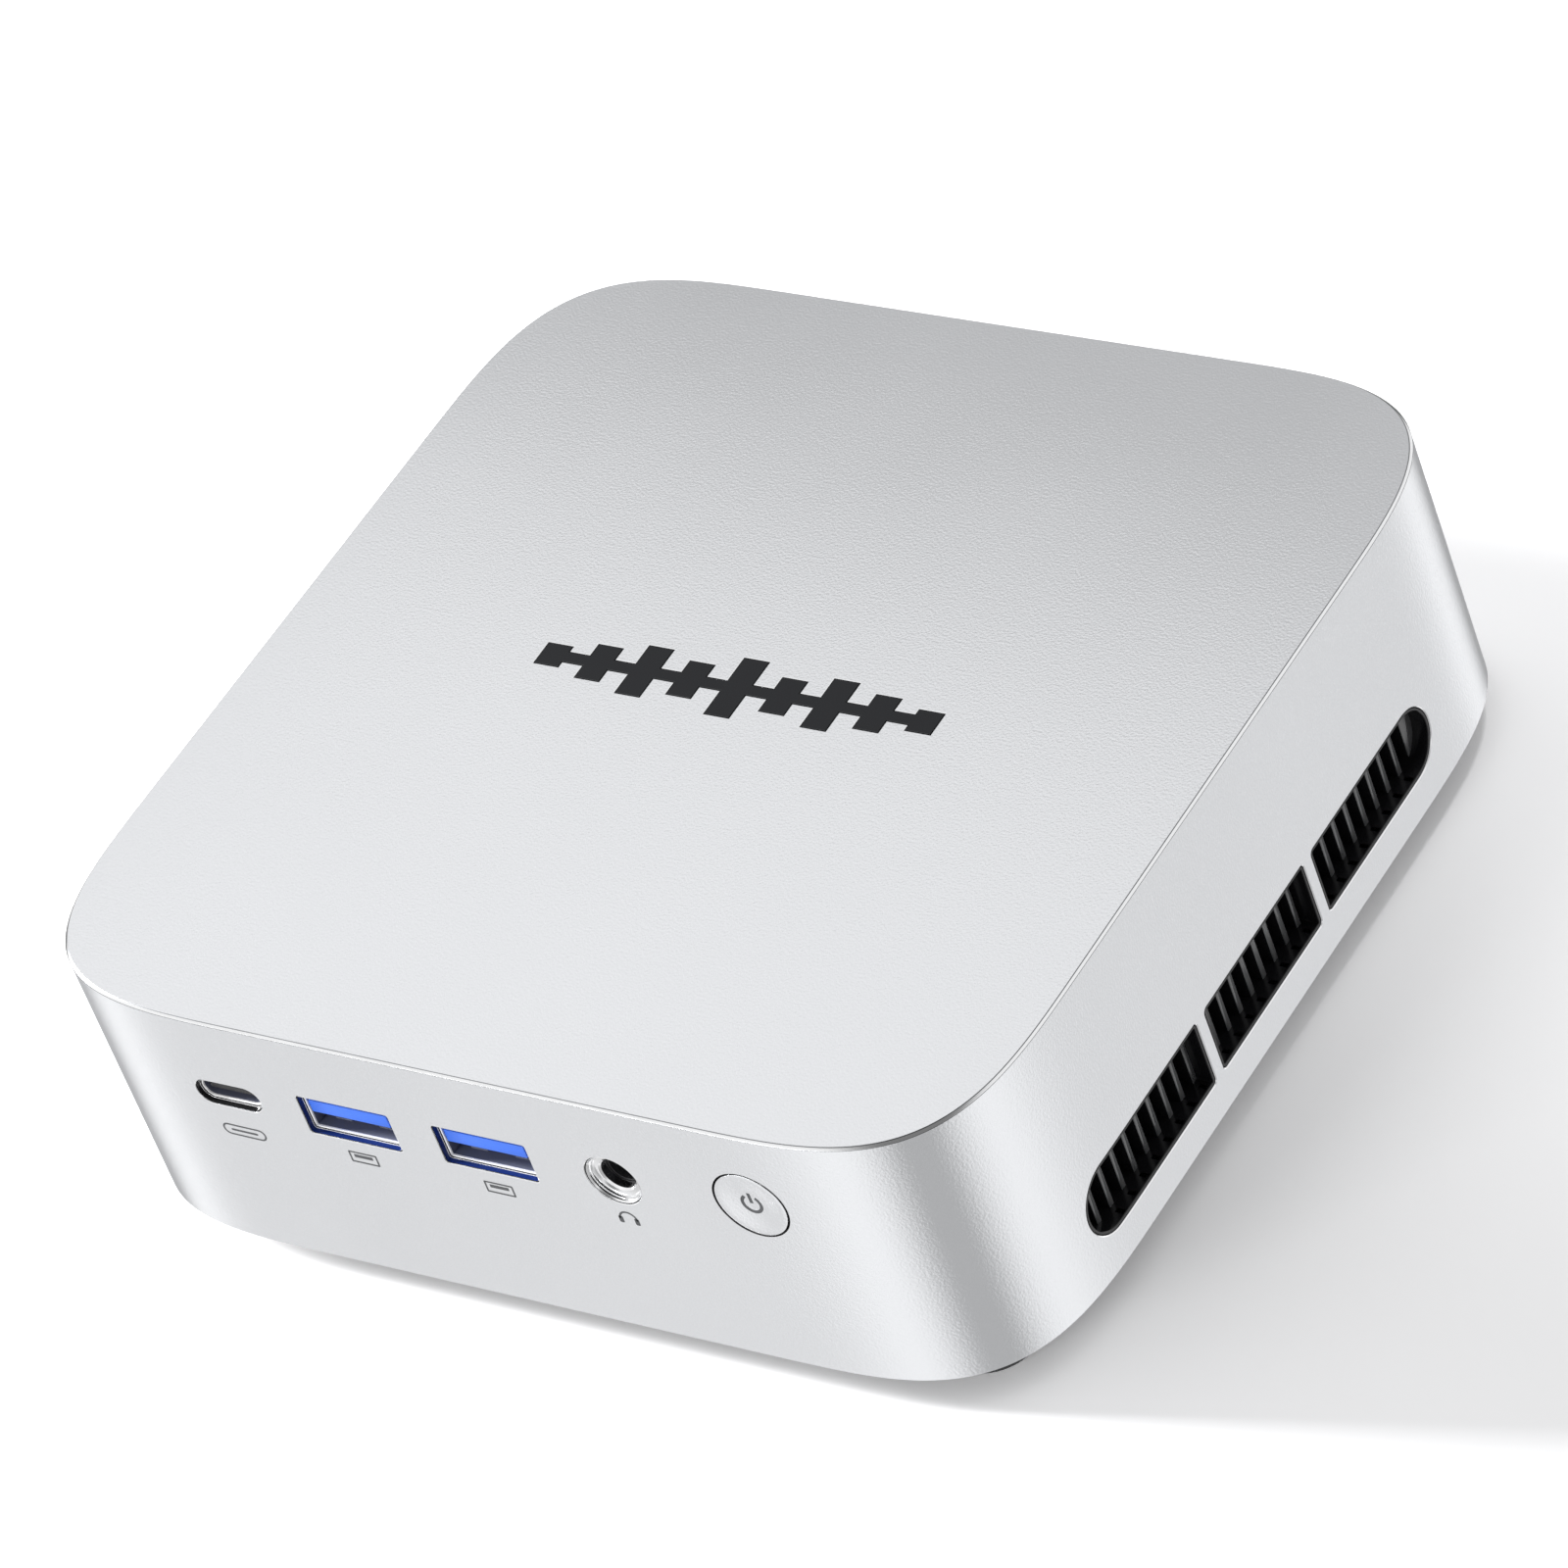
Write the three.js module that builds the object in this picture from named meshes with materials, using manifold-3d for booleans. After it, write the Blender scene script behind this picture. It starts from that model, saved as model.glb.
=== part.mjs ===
// A square, round-cornered mini desktop computer with its ports, cooling and boards.
// Millimetres. +X is to the right seen from the front, +Y towards the back, +Z up.
// The origin is on the table, under the middle of the case.
import * as THREE from "three";
import { mergeVertices } from "three/addons/utils/BufferGeometryUtils.js";
import Module from "manifold-3d";

const wasm = await Module();
wasm.setup();

// ---------- Driving dimensions ----------
const WIDTH = 128; // outside width and depth of the case
const HEIGHT = 41; // from the soles of the feet to the top face
const CORNER = 34; // length of a rounded corner along each side
const SQUARENESS = 3.7; // superellipse exponent of the corners: 2 is a quarter circle
const WALL = 1.2;
const TOP_THICKNESS = 1.6;
const EDGE_CHAMFER = 0.5; // polished chamfer round the top face
const SHELL_BOTTOM = 4.1; // lower edge of the shell
const COVER_BOTTOM = 3.1; // underside of the black base
const COVER_TOP = 5;
const COVER_GAP = 0.4; // between base and shell
const BOARD_TOP = 25.9; // the ports stand on this face of the motherboard
const BOARD_THICKNESS = 1.6;
const FOOT_REACH = 51.2; // feet and case screws, from the middle along X and Y
const FOOT_RADIUS = 6;
const FAN_CENTRE = { x: 0, y: 16 };
const BUTTON_TRAVEL = 0.5;
const LOOSE = 0.1; // clearance between pieces that sit against each other

const HALF = WIDTH / 2;
const CEILING = HEIGHT - TOP_THICKNESS;
const BOARD_BOTTOM = BOARD_TOP - BOARD_THICKNESS;
const QUARTER_TURN = Math.PI / 2;
const BOTH_SIDES = [-1, 1];
const FOUR_CORNERS = [
  ["front_left", -1, -1],
  ["front_right", 1, -1],
  ["rear_left", -1, 1],
  ["rear_right", 1, 1],
];

// ---------- Materials ----------
const finish = (color, roughness, metalness) =>
  new THREE.MeshStandardMaterial({ color, roughness, metalness });
const SILVER = finish(0xd6d8db, 0.38, 0.75);
const CHARCOAL = finish(0x26282b, 0.35, 0.2);
const BLACK_PLASTIC = finish(0x141517, 0.45, 0);
const RUBBER = finish(0x1b1b1c, 0.85, 0);
const STEEL = finish(0xb9bcc0, 0.3, 1);
const CHROME = finish(0xe2e4e8, 0.12, 1);
const BLUE_PLASTIC = finish(0x2f66e0, 0.4, 0);
const BRASS = finish(0xc9a24b, 0.35, 1);
const CIRCUIT_BOARD = finish(0x12351f, 0.5, 0);
const COPPER = finish(0xc57a4a, 0.3, 1);
const ALUMINIUM = finish(0xc4c6c9, 0.4, 1);
const CHIP = finish(0x202124, 0.55, 0.1);

// ---------- Shape helpers ----------
/** A closed geometry as a solid that can be cut and joined. */
function solid(geometry) {
  const bare = new THREE.BufferGeometry().setAttribute("position", geometry.getAttribute("position"));
  if (geometry.index) bare.setIndex(geometry.index);
  const merged = mergeVertices(bare, 1e-4);
  const position = merged.attributes.position.array;
  const mesh = { numProp: 3, vertProperties: position, triVerts: merged.index.array };
  return new wasm.Manifold(new wasm.Mesh(mesh));
}

/** The surface of a solid as a geometry. */
function surface(made) {
  const mesh = made.getMesh();
  return new THREE.BufferGeometry()
    .setAttribute("position", new THREE.BufferAttribute(new Float32Array(mesh.vertProperties), 3))
    .setIndex(new THREE.BufferAttribute(new Uint32Array(mesh.triVerts), 1));
}

const join = (solids) => solids.reduce((whole, next) => whole.add(next));
const cutAll = (body, tools) => (tools.length ? body.subtract(join(tools)) : body);

/** A box from its lowest and highest x, y and z. */
function box([x0, x1], [y0, y1], [z0, z1]) {
  const block = new THREE.BoxGeometry(x1 - x0, y1 - y0, z1 - z0);
  return solid(block.translate((x0 + x1) / 2, (y0 + y1) / 2, (z0 + z1) / 2));
}

/** An upright cylinder. */
function rod(radius, z0, z1, { x = 0, y = 0, segments = 20, top = radius } = {}) {
  const shape = new THREE.CylinderGeometry(top, radius, z1 - z0, segments);
  return solid(shape.rotateX(QUARTER_TURN).translate(x, y, (z0 + z1) / 2));
}

/** A flat outline given thickness from z0 to z1, as a geometry. */
function plate(shape, z0, z1) {
  const settings = { depth: z1 - z0, bevelEnabled: false, curveSegments: 1 };
  return new THREE.ExtrudeGeometry(shape, settings).translate(0, 0, z0);
}

const slab = (shape, z0, z1) => solid(plate(shape, z0, z1));

const outline = (points) => new THREE.Shape(points.map(([x, y]) => new THREE.Vector2(x, y)));

/** A rectangle whose left and right pairs of corners are rounded, up to a full half circle. */
function panel([left, right], [bottom, top], leftRadius, rightRadius = leftRadius) {
  const points = [];
  const corner = (x, y, radius, start) => {
    const steps = Math.round(1.7 * Math.sqrt(radius)); // a small radius takes a single chamfer
    for (let i = 0; i <= steps; i++) {
      const angle = start + (steps ? i / steps : 0) * QUARTER_TURN;
      points.push([x + radius * Math.cos(angle), y + radius * Math.sin(angle)]);
    }
  };
  const most = (top - bottom) / 2 - 0.01;
  const a = Math.min(leftRadius, most);
  const b = Math.min(rightRadius, most);
  corner(left + a, top - a, a, QUARTER_TURN);
  corner(left + a, bottom + a, a, 2 * QUARTER_TURN);
  corner(right - b, bottom + b, b, 3 * QUARTER_TURN);
  corner(right - b, top - b, b, 0);
  return outline(points);
}

/** A panel by its size and its middle. */
function pane(width, height, radius, x = 0, y = 0) {
  return panel([x - width / 2, x + width / 2], [y - height / 2, y + height / 2], radius);
}

/** The case's outline, anticlockwise, moved inwards by inset. */
function caseOutline(inset, steps = 10) {
  const radius = CORNER - inset;
  const straight = HALF - CORNER;
  const points = [];
  for (let corner = 0; corner < 4; corner++) {
    for (let step = 0; step <= steps; step++) {
      const angle = (step / steps) * QUARTER_TURN;
      const x = straight + radius * Math.abs(Math.cos(angle)) ** (2 / SQUARENESS);
      const y = straight + radius * Math.abs(Math.sin(angle)) ** (2 / SQUARENESS);
      points.push(new THREE.Vector2(x, y).rotateAround(new THREE.Vector2(), corner * QUARTER_TURN));
    }
  }
  return points;
}

const circleOutline = (radius, steps = 20) =>
  Array.from({ length: steps }, (_, i) => {
    const angle = (i / steps) * 4 * QUARTER_TURN;
    return new THREE.Vector2(radius * Math.cos(angle), radius * Math.sin(angle));
  });

/** A solid skinned over level outlines of equal length, lowest first: [[height, points], ...]. */
function loft(levels, x = 0, y = 0) {
  const count = levels[0][1].length;
  const position = levels.flatMap(([z, points]) => points.flatMap((p) => [p.x + x, p.y + y, z]));
  const index = [];
  for (let level = 0; level < levels.length - 1; level++) {
    for (let i = 0; i < count; i++) {
      const a = level * count + i;
      const b = level * count + ((i + 1) % count);
      index.push(a, b, b + count, a, b + count, a + count);
    }
  }
  const last = (levels.length - 1) * count;
  for (const [a, b, c] of THREE.ShapeUtils.triangulateShape(levels[0][1], [])) index.push(a, c, b);
  for (const [a, b, c] of THREE.ShapeUtils.triangulateShape(levels.at(-1)[1], []))
    index.push(last + a, last + b, last + c);
  const geometry = new THREE.BufferGeometry();
  geometry.setAttribute("position", new THREE.Float32BufferAttribute(position, 3));
  return solid(geometry.setIndex(index));
}

// ---------- The assembly and its four walls ----------
const computer = new THREE.Group();

/** Adds one named piece, from a solid or a closed geometry. */
function addPiece(parent, name, shape, material) {
  const mesh = new THREE.Mesh(shape.isBufferGeometry ? shape : surface(shape), material);
  mesh.name = name;
  parent.add(mesh);
}

/** A wall's frame: X to the right seen from outside, Y up, Z out, from the foot of its outer face. */
function wallFrame(turns) {
  const turn = turns * QUARTER_TURN;
  const frame = new THREE.Group();
  frame.rotation.set(QUARTER_TURN, 0, turn, "ZYX");
  frame.position.set(HALF * Math.sin(turn), -HALF * Math.cos(turn), 0);
  frame.updateMatrix();
  computer.add(frame);
  return frame;
}
const FRONT = wallFrame(0);
const RIGHT = wallFrame(1);
const REAR = wallFrame(2);
const LEFT = wallFrame(3);

/** A cutter for one opening right through a wall. */
const through = (wall, shape) => solid(plate(shape, -4, 1).applyMatrix4(wall.matrix));

// ---------- Vents: three windows in a row, with upright ribs behind ----------
const VENT = { bottom: 8.9, top: 18.35, halfLength: 41, middleHalf: 12, divider: 1.8, cornerRadius: 0.7 };
const SIDE_VENT_FORWARD = 2.7; // the side vents sit this far in front of the middle
const RIB = { pitch: 2.81, width: 0.85, front: 2.3, back: 4.7, forward: 0.65, count: 29 };

/** The three windows of a vent centred on x, each drawn in all round by inset. */
function ventWindows(x, inset = 0) {
  const height = [VENT.bottom + inset, VENT.top - inset];
  const end = VENT.halfLength - inset;
  const beside = VENT.middleHalf + VENT.divider + inset;
  const middle = VENT.middleHalf - inset;
  return [
    panel([x - end, x - beside], height, HEIGHT, VENT.cornerRadius),
    panel([x - middle, x + middle], height, VENT.cornerRadius),
    panel([x + beside, x + end], height, VENT.cornerRadius, HEIGHT),
  ];
}

/** The black insert behind a vent: collars that line the windows, a flange, and a plate of upright ribs. */
function ventInsert(x) {
  const collarGap = 0.12;
  const collarWall = 0.35;
  const flange = { front: -WALL - 0.65, thickness: 0.25, lip: 1, tallLip: 2.4 };
  const flangeBack = flange.front - flange.thickness;
  const overlap = 0.05;
  const reach = VENT.halfLength + flange.lip;
  const tall = [VENT.bottom - flange.tallLip, VENT.top + flange.tallLip];
  const collars = ventWindows(x, collarGap).map((shape) => slab(shape, flange.front - overlap, -LOOSE));
  const sheet = slab(panel([x - reach, x + reach], tall, HEIGHT), flangeBack, flange.front);
  const tunnels = ventWindows(x, collarGap + collarWall).map((shape) => slab(shape, flangeBack - 1, 1));

  const long = [x - VENT.halfLength, x + VENT.halfLength];
  const border = panel(long, [VENT.bottom - 1.2, VENT.top + 1.2], 0);
  border.holes.push(panel([long[0] + 0.7, long[1] - 0.7], [VENT.bottom - 0.6, VENT.top + 0.6], 0));
  const ribFrame = slab(border, -RIB.back, flangeBack + overlap);
  const ribHeight = [VENT.bottom - 0.8, VENT.top + 0.8];
  const lastRib = (RIB.count - 1) / 2;
  const ribs = [];
  for (let i = -lastRib; i <= lastRib; i++) {
    const middle = x + Math.sign(x) * RIB.forward + i * RIB.pitch;
    // the outermost ribs reach the frame
    const left = i === -lastRib ? long[0] + 0.2 : middle - RIB.width / 2;
    const right = i === lastRib ? long[1] - 0.2 : middle + RIB.width / 2;
    ribs.push(box([left, right], ribHeight, [-RIB.back + 0.1, -RIB.front]));
  }
  return cutAll(join([sheet, ...collars]), tunnels).add(join([ribFrame, ...ribs]));
}

function addVents() {
  addPiece(RIGHT, "side_grille_right", ventInsert(-SIDE_VENT_FORWARD), BLACK_PLASTIC);
  addPiece(LEFT, "side_grille_left", ventInsert(SIDE_VENT_FORWARD), BLACK_PLASTIC);
  addPiece(REAR, "rear_grille", ventInsert(0), BLACK_PLASTIC);
}

// ---------- Port positions ----------
const USB_A = { width: 12.75, height: 5.75, depth: 14, sheet: 0.25, y: 28.85 };
const USB_C = { x: -35.8, y: 29.1, width: 9.1, height: 3.6, depth: 9 };
const AUDIO = { x: 17.7, y: 29.1, radius: 3.66 };
const BUTTON = { x: 36.5, y: 30.1, radius: 4.6, gap: 0.22 };
const FRONT_USB_X = { left: -18.8, right: 0.15 };
const HDMI = { width: 15, height: 5.7, depth: 11.5, y: 29 };
const ETHERNET = { width: 15.6, height: 12, depth: 17, y: 32.05 };
const DC = { width: 9, height: 10, depth: 13, y: 31.1, radius: 3.2 };
const REAR_RECESS = 1.85; // the rear ports start this far behind the wall's outer face
const REAR_GAP = 1.8;

/** Centres of the rear ports, left to right seen from behind, packed side by side about the middle. */
function rearPositions() {
  const row = { dc: DC.width, hdmi_left: HDMI.width, hdmi_right: HDMI.width, ethernet: ETHERNET.width };
  row.usb_left = USB_A.width + 0.4;
  row.usb_right = USB_A.width + 0.4;
  const widths = Object.values(row);
  const total = widths.reduce((sum, width) => sum + width) + REAR_GAP * (widths.length - 1);
  let edge = -total / 2;
  return Object.fromEntries(
    Object.entries(row).map(([name, width]) => {
      const centre = edge + width / 2;
      edge += width + REAR_GAP;
      return [name, centre];
    }),
  );
}
const REAR_X = rearPositions();

/** An HDMI outline: a rectangle whose lower corners are cut off. */
function hdmiOutline(width, height, x, y) {
  const w = width / 2;
  const h = height / 2;
  const cut = 0.27 * height;
  const inner = w - 1.3 * cut;
  const corners = [[-w, h], [-w, cut - h], [-inner, -h], [inner, -h], [w, cut - h], [w, h]];
  return outline(corners.map(([u, v]) => [x + u, y + v]));
}

// ---------- Case ----------
/** Cutters for every opening in the shell's walls. */
function shellOpenings() {
  const usbHole = (x) => pane(USB_A.width + 0.2, USB_A.height + 0.2, 0.5, x, USB_A.y);
  const circle = (radius, x, y) => outline(circleOutline(radius).map((p) => [x + p.x, y + p.y]));
  const tools = [
    through(FRONT, pane(USB_C.width + 0.25, USB_C.height + 0.25, HEIGHT, USB_C.x, USB_C.y)),
    through(FRONT, usbHole(FRONT_USB_X.left)),
    through(FRONT, usbHole(FRONT_USB_X.right)),
    through(FRONT, circle(AUDIO.radius, AUDIO.x, AUDIO.y)),
    through(FRONT, circle(BUTTON.radius + BUTTON.gap, BUTTON.x, BUTTON.y)),
    through(REAR, circle(DC.radius + 0.6, REAR_X.dc, DC.y)),
    through(REAR, hdmiOutline(HDMI.width - 0.2, HDMI.height - 0.2, REAR_X.hdmi_left, HDMI.y)),
    through(REAR, hdmiOutline(HDMI.width - 0.2, HDMI.height - 0.2, REAR_X.hdmi_right, HDMI.y)),
    through(REAR, pane(ETHERNET.width - 1.6, ETHERNET.height - 1.2, 0.5, REAR_X.ethernet, ETHERNET.y)),
    through(REAR, usbHole(REAR_X.usb_left)),
    through(REAR, usbHole(REAR_X.usb_right)),
  ];
  for (const [wall, x] of [[RIGHT, -SIDE_VENT_FORWARD], [LEFT, SIDE_VENT_FORWARD], [REAR, 0]]) {
    tools.push(...ventWindows(x).map((shape) => through(wall, shape)));
  }
  return tools;
}

const BOARD_SCREW = { x: 50, y: 41.5 };
const POST_RADIUS = 3.6;
const BOSS_RADIUS = 3;
const BADGE = { length: 55, stroke: 3.4, line: 1.6, depth: 0.4, margin: 0.12 };
const BADGE_HEIGHTS = [3.4, 5.6, 8, 5.6, 9.4, 5.6, 8, 5.6, 3.4]; // the upright bars, left to right

/** The badge: a level line with a row of upright bars across it, drawn out all round by margin. */
function badge(margin, z0, z1) {
  const pitch = (BADGE.length - BADGE.stroke) / (BADGE_HEIGHTS.length - 1);
  const half = BADGE.stroke / 2 + margin;
  const upper = [];
  BADGE_HEIGHTS.forEach((height, i) => {
    const x = i * pitch - (BADGE.length - BADGE.stroke) / 2;
    const low = BADGE.line / 2 + margin;
    const high = height / 2 + margin;
    const bar = [[x - half, low], [x - half, high], [x + half, high], [x + half, low]];
    upper.push(...(i ? bar : bar.slice(1)));
  });
  upper.pop();
  const lower = upper.map(([x, y]) => [x, -y]).reverse();
  return slab(outline([...upper, ...lower]), z0, z1);
}

function topShell() {
  const outside = loft([
    [SHELL_BOTTOM, caseOutline(0.3)],
    [SHELL_BOTTOM + 0.3, caseOutline(0)],
    [HEIGHT - EDGE_CHAMFER, caseOutline(0)],
    [HEIGHT, caseOutline(EDGE_CHAMFER)],
  ]);
  const inside = loft([
    [0, caseOutline(WALL)],
    [CEILING, caseOutline(WALL)],
  ]);
  const inCeiling = CEILING + 0.5;
  const posts = [];
  const screwHoles = [];
  for (const [, sx, sy] of FOUR_CORNERS) {
    const foot = { x: sx * FOOT_REACH, y: sy * FOOT_REACH };
    const boss = { x: sx * BOARD_SCREW.x, y: sy * BOARD_SCREW.y };
    posts.push(rod(POST_RADIUS, COVER_TOP + LOOSE, inCeiling, { ...foot, segments: 12 }));
    posts.push(rod(BOSS_RADIUS, BOARD_TOP + LOOSE, inCeiling, { ...boss, segments: 12 }));
    screwHoles.push(rod(1.4, COVER_TOP - 1, COVER_TOP + 11, { ...foot, segments: 8 }));
    screwHoles.push(rod(1.15, BOARD_TOP - 1, BOARD_TOP + 6, { ...boss, segments: 8 }));
  }
  const pocket = badge(BADGE.margin, HEIGHT - BADGE.depth, HEIGHT + 1);
  const body = outside.subtract(inside).add(join(posts));
  return cutAll(body, [...screwHoles, ...shellOpenings(), pocket]);
}

const INTAKE = { radius: 26, rows: 4, pitch: 5.6, width: 2.8, web: 1.6 };
const VESA_REACH = 37.5; // two threaded inserts, 75 mm apart
const INSERT_RADIUS = 2.7;

/** The base: a shallow black plate with a slotted air intake under the fan. */
function bottomCover() {
  const edge = WALL + COVER_GAP;
  const body = loft([
    [COVER_BOTTOM, caseOutline(edge + 0.5)],
    [COVER_BOTTOM + 0.5, caseOutline(edge)],
    [COVER_TOP, caseOutline(edge)],
  ]);
  const inserts = BOTH_SIDES.map((side) => ({ x: side * VESA_REACH }));
  const sockets = inserts.map((at) => rod(4.2, COVER_TOP - 1, COVER_TOP + 2.5, at));
  const holes = inserts.map((at) => rod(INSERT_RADIUS + LOOSE, 0, COVER_TOP + 5, at));
  for (const [, sx, sy] of FOUR_CORNERS) {
    const at = { x: sx * FOOT_REACH, y: sy * FOOT_REACH };
    holes.push(rod(FOOT_RADIUS + 0.15, 0, COVER_BOTTOM + 0.4, at));
    holes.push(rod(1.8, 0, COVER_TOP + 1, { ...at, segments: 16 }));
  }
  for (let row = -INTAKE.rows; row <= INTAKE.rows; row++) {
    const y = FAN_CENTRE.y + row * INTAKE.pitch;
    const reach = Math.sqrt(INTAKE.radius ** 2 - (row * INTAKE.pitch) ** 2);
    const height = [y - INTAKE.width / 2, y + INTAKE.width / 2];
    holes.push(slab(panel([-reach, -INTAKE.web], height, 0.6), 0, COVER_TOP + 1));
    holes.push(slab(panel([INTAKE.web, reach], height, 0.6), 0, COVER_TOP + 1));
  }
  return cutAll(body.add(join(sockets)), holes);
}

/** A round rubber foot with a hole for the case screw's head. */
function foot(x, y) {
  const pad = [
    [0, circleOutline(FOOT_RADIUS - 0.4, 16)],
    [0.4, circleOutline(FOOT_RADIUS, 16)],
    [COVER_BOTTOM + 0.35, circleOutline(FOOT_RADIUS, 16)],
  ];
  return loft(pad, x, y).subtract(rod(3, -1, HEIGHT, { x, y, segments: 12 }));
}

/** A pan-head screw that points up, with a cross recess in its head. */
function screw(x, y, seat, { headRadius, headHeight, shankRadius, length }) {
  const head = rod(headRadius * 0.85, seat - headHeight, seat, { x, y, segments: 12, top: headRadius });
  const shank = rod(shankRadius, seat - 0.1, seat + length, { x, y, segments: 6 });
  const deep = [seat - headHeight - 1, seat - headHeight * 0.4];
  const arm = headRadius * 0.55;
  const thin = headRadius * 0.13;
  const recess = box([x - arm, x + arm], [y - thin, y + thin], deep).add(
    box([x - thin, x + thin], [y - arm, y + arm], deep),
  );
  return head.add(shank).subtract(recess);
}
const CASE_SCREW = { headRadius: 2.5, headHeight: 1.9, shankRadius: 1.25, length: 9 };
const SMALL_SCREW = { headRadius: 2.2, headHeight: 1.5, shankRadius: 1, length: 6 };

function addCase() {
  addPiece(computer, "top_shell", topShell(), SILVER);
  addPiece(computer, "top_badge", badge(0, HEIGHT - BADGE.depth + 0.05, HEIGHT), CHARCOAL);
  addPiece(computer, "bottom_cover", bottomCover(), BLACK_PLASTIC);
  for (const [corner, sx, sy] of FOUR_CORNERS) {
    const x = sx * FOOT_REACH;
    const y = sy * FOOT_REACH;
    addPiece(computer, `foot_${corner}`, foot(x, y), RUBBER);
    addPiece(computer, `case_screw_${corner}`, screw(x, y, COVER_BOTTOM + 0.35, CASE_SCREW), STEEL);
  }
  for (const [name, side] of [["left", -1], ["right", 1]]) {
    const at = { x: side * VESA_REACH };
    const tube = rod(INSERT_RADIUS, COVER_BOTTOM + 0.05, COVER_TOP + 2.4, { ...at, segments: 16 });
    addPiece(computer, `vesa_insert_${name}`, tube.subtract(rod(1.65, 0, HEIGHT, at)), BRASS);
  }
}

// ---------- Ports ----------
/** A port's sheet-metal can, open towards Z, with one wall at its back. */
function can(outer, inner, front, depth, backWall = 0.5) {
  return slab(outer, front - depth, front).subtract(slab(inner, front - depth + backWall, front + 1));
}

/** A USB-A port: its can, and the blue tongue in the upper half. */
function addUsbA(wall, name, x, front) {
  const { width, height, depth, sheet, y } = USB_A;
  const inner = [width - 2 * sheet, height - 2 * sheet];
  const outer = pane(width, height, 0.35, x, y);
  addPiece(wall, `${name}_shell`, can(outer, pane(...inner, 0, x, y), front, depth), CHROME);
  const tongueFront = front - 0.55;
  const back = front - depth + 0.6;
  const across = [x - 5.5, x + 5.5];
  const tongue = box(across, [y + 0.05, y + 1.89], [back, tongueFront]);
  const root = box(
    [x - inner[0] / 2 + LOOSE, x + inner[0] / 2 - LOOSE],
    [y - inner[1] / 2 + LOOSE, y + inner[1] / 2 - LOOSE],
    [back, back + 3],
  );
  addPiece(wall, `${name}_tongue`, tongue.add(root), BLUE_PLASTIC);
}

function addUsbC() {
  const { x, y, width, height, depth } = USB_C;
  const front = -0.25;
  const outer = pane(width, height, HEIGHT, x, y);
  const inner = pane(width - 0.6, height - 0.6, HEIGHT, x, y);
  addPiece(FRONT, "usb_c_shell", can(outer, inner, front, depth), CHROME);
  const back = front - depth + 0.6;
  const tongue = slab(pane(6.7, 0.7, 0.2, x, y), back, front - 0.9);
  const root = slab(pane(width - 0.9, height - 0.9, HEIGHT, x, y), back, back + 2);
  addPiece(FRONT, "usb_c_tongue", tongue.add(root), BLACK_PLASTIC);
}

/** The 3.5 mm headphone jack: a stepped metal nose in the wall, and its black body behind. */
function addAudioJack() {
  const { x, y, radius } = AUDIO;
  const nose = rod(radius - 0.16, -2.2, -1, { x, y }).subtract(rod(2.2, -3, 0, { x, y }));
  addPiece(FRONT, "audio_jack_ring", nose, CHROME);
  const block = box([x - 4, x + 4], [BOARD_TOP + LOOSE, y + 3.4], [-14, -2.3]);
  const bore = rod(1.85, -13, 0, { x, y, segments: 20 });
  addPiece(FRONT, "audio_jack_body", block.subtract(bore), BLACK_PLASTIC);
}

/** A shallow bowl, for cutting: its rim lies level with the origin and it reaches depth below. */
function dish(radius, depth) {
  const profile = [0, 0.35, 0.7, 1].map((r) => new THREE.Vector2(r * radius, depth * (r ** 2 - 1)));
  profile.push(new THREE.Vector2(radius, 1), new THREE.Vector2(0, 1));
  return new THREE.LatheGeometry(profile, 20).rotateX(QUARTER_TURN);
}

/** The power button, its guide and the switch that it presses. The button moves inwards by BUTTON_TRAVEL. */
function addPowerButton() {
  const { x, y, radius } = BUTTON;
  const at = { x, y };
  const flange = { front: -1.55, back: -2.35 };
  const guide = { front: -1.7, back: -5.6, bore: 5.7, floor: 1 };
  const stemEnd = -7;
  const capBlank = rod(radius, flange.back, -0.05, at);
  const bowl = dish(radius - 0.5, 0.3).translate(x, y, -0.05);
  const rim = rod(radius + 0.75, flange.back, flange.front, at);
  const stem = rod(1.7, stemEnd, flange.back + 0.2, { ...at, segments: 16 });
  addPiece(FRONT, "power_button", capBlank.subtract(solid(bowl)).add(rim).add(stem), SILVER);

  const collar = rod(guide.bore + 1.2, guide.back, guide.front, at);
  const well = rod(guide.bore, guide.back + guide.floor, 0, at);
  const stemHole = rod(2, guide.back - 1, 0, { ...at, segments: 16 });
  addPiece(FRONT, "power_button_guide", cutAll(collar, [well, stemHole]), BLACK_PLASTIC);

  const switchFront = stemEnd - 0.9;
  const switchBack = switchFront - 3.6;
  const plungerEnd = switchFront - 0.8;
  const plunger = rod(1.1, plungerEnd, stemEnd - LOOSE, { ...at, segments: 16 });
  addPiece(FRONT, "power_switch_plunger", plunger, CHARCOAL);
  const socket = rod(1.35, plungerEnd - BUTTON_TRAVEL - 0.3, 0, { ...at, segments: 16 });
  const block = box([x - 3, x + 3], [BOARD_TOP + LOOSE, y + 3], [switchBack, switchFront]);
  addPiece(FRONT, "power_switch_body", block.subtract(socket), BLACK_PLASTIC);
}

function addHdmi(name, x) {
  const { width, height, depth, y } = HDMI;
  const outer = hdmiOutline(width, height, x, y);
  const inner = hdmiOutline(width - 0.7, height - 0.7, x, y);
  addPiece(REAR, `${name}_shell`, can(outer, inner, -REAR_RECESS, depth), CHROME);
  const back = -REAR_RECESS - depth + 0.6;
  const tongue = box([x - 5.9, x + 5.9], [y - 0.2, y + 1], [back, -REAR_RECESS - 1.2]);
  const root = slab(hdmiOutline(width - 1, height - 1, x, y), back, back + 2.5);
  addPiece(REAR, `${name}_tongue`, tongue.add(root), BLACK_PLASTIC);
}

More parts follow.
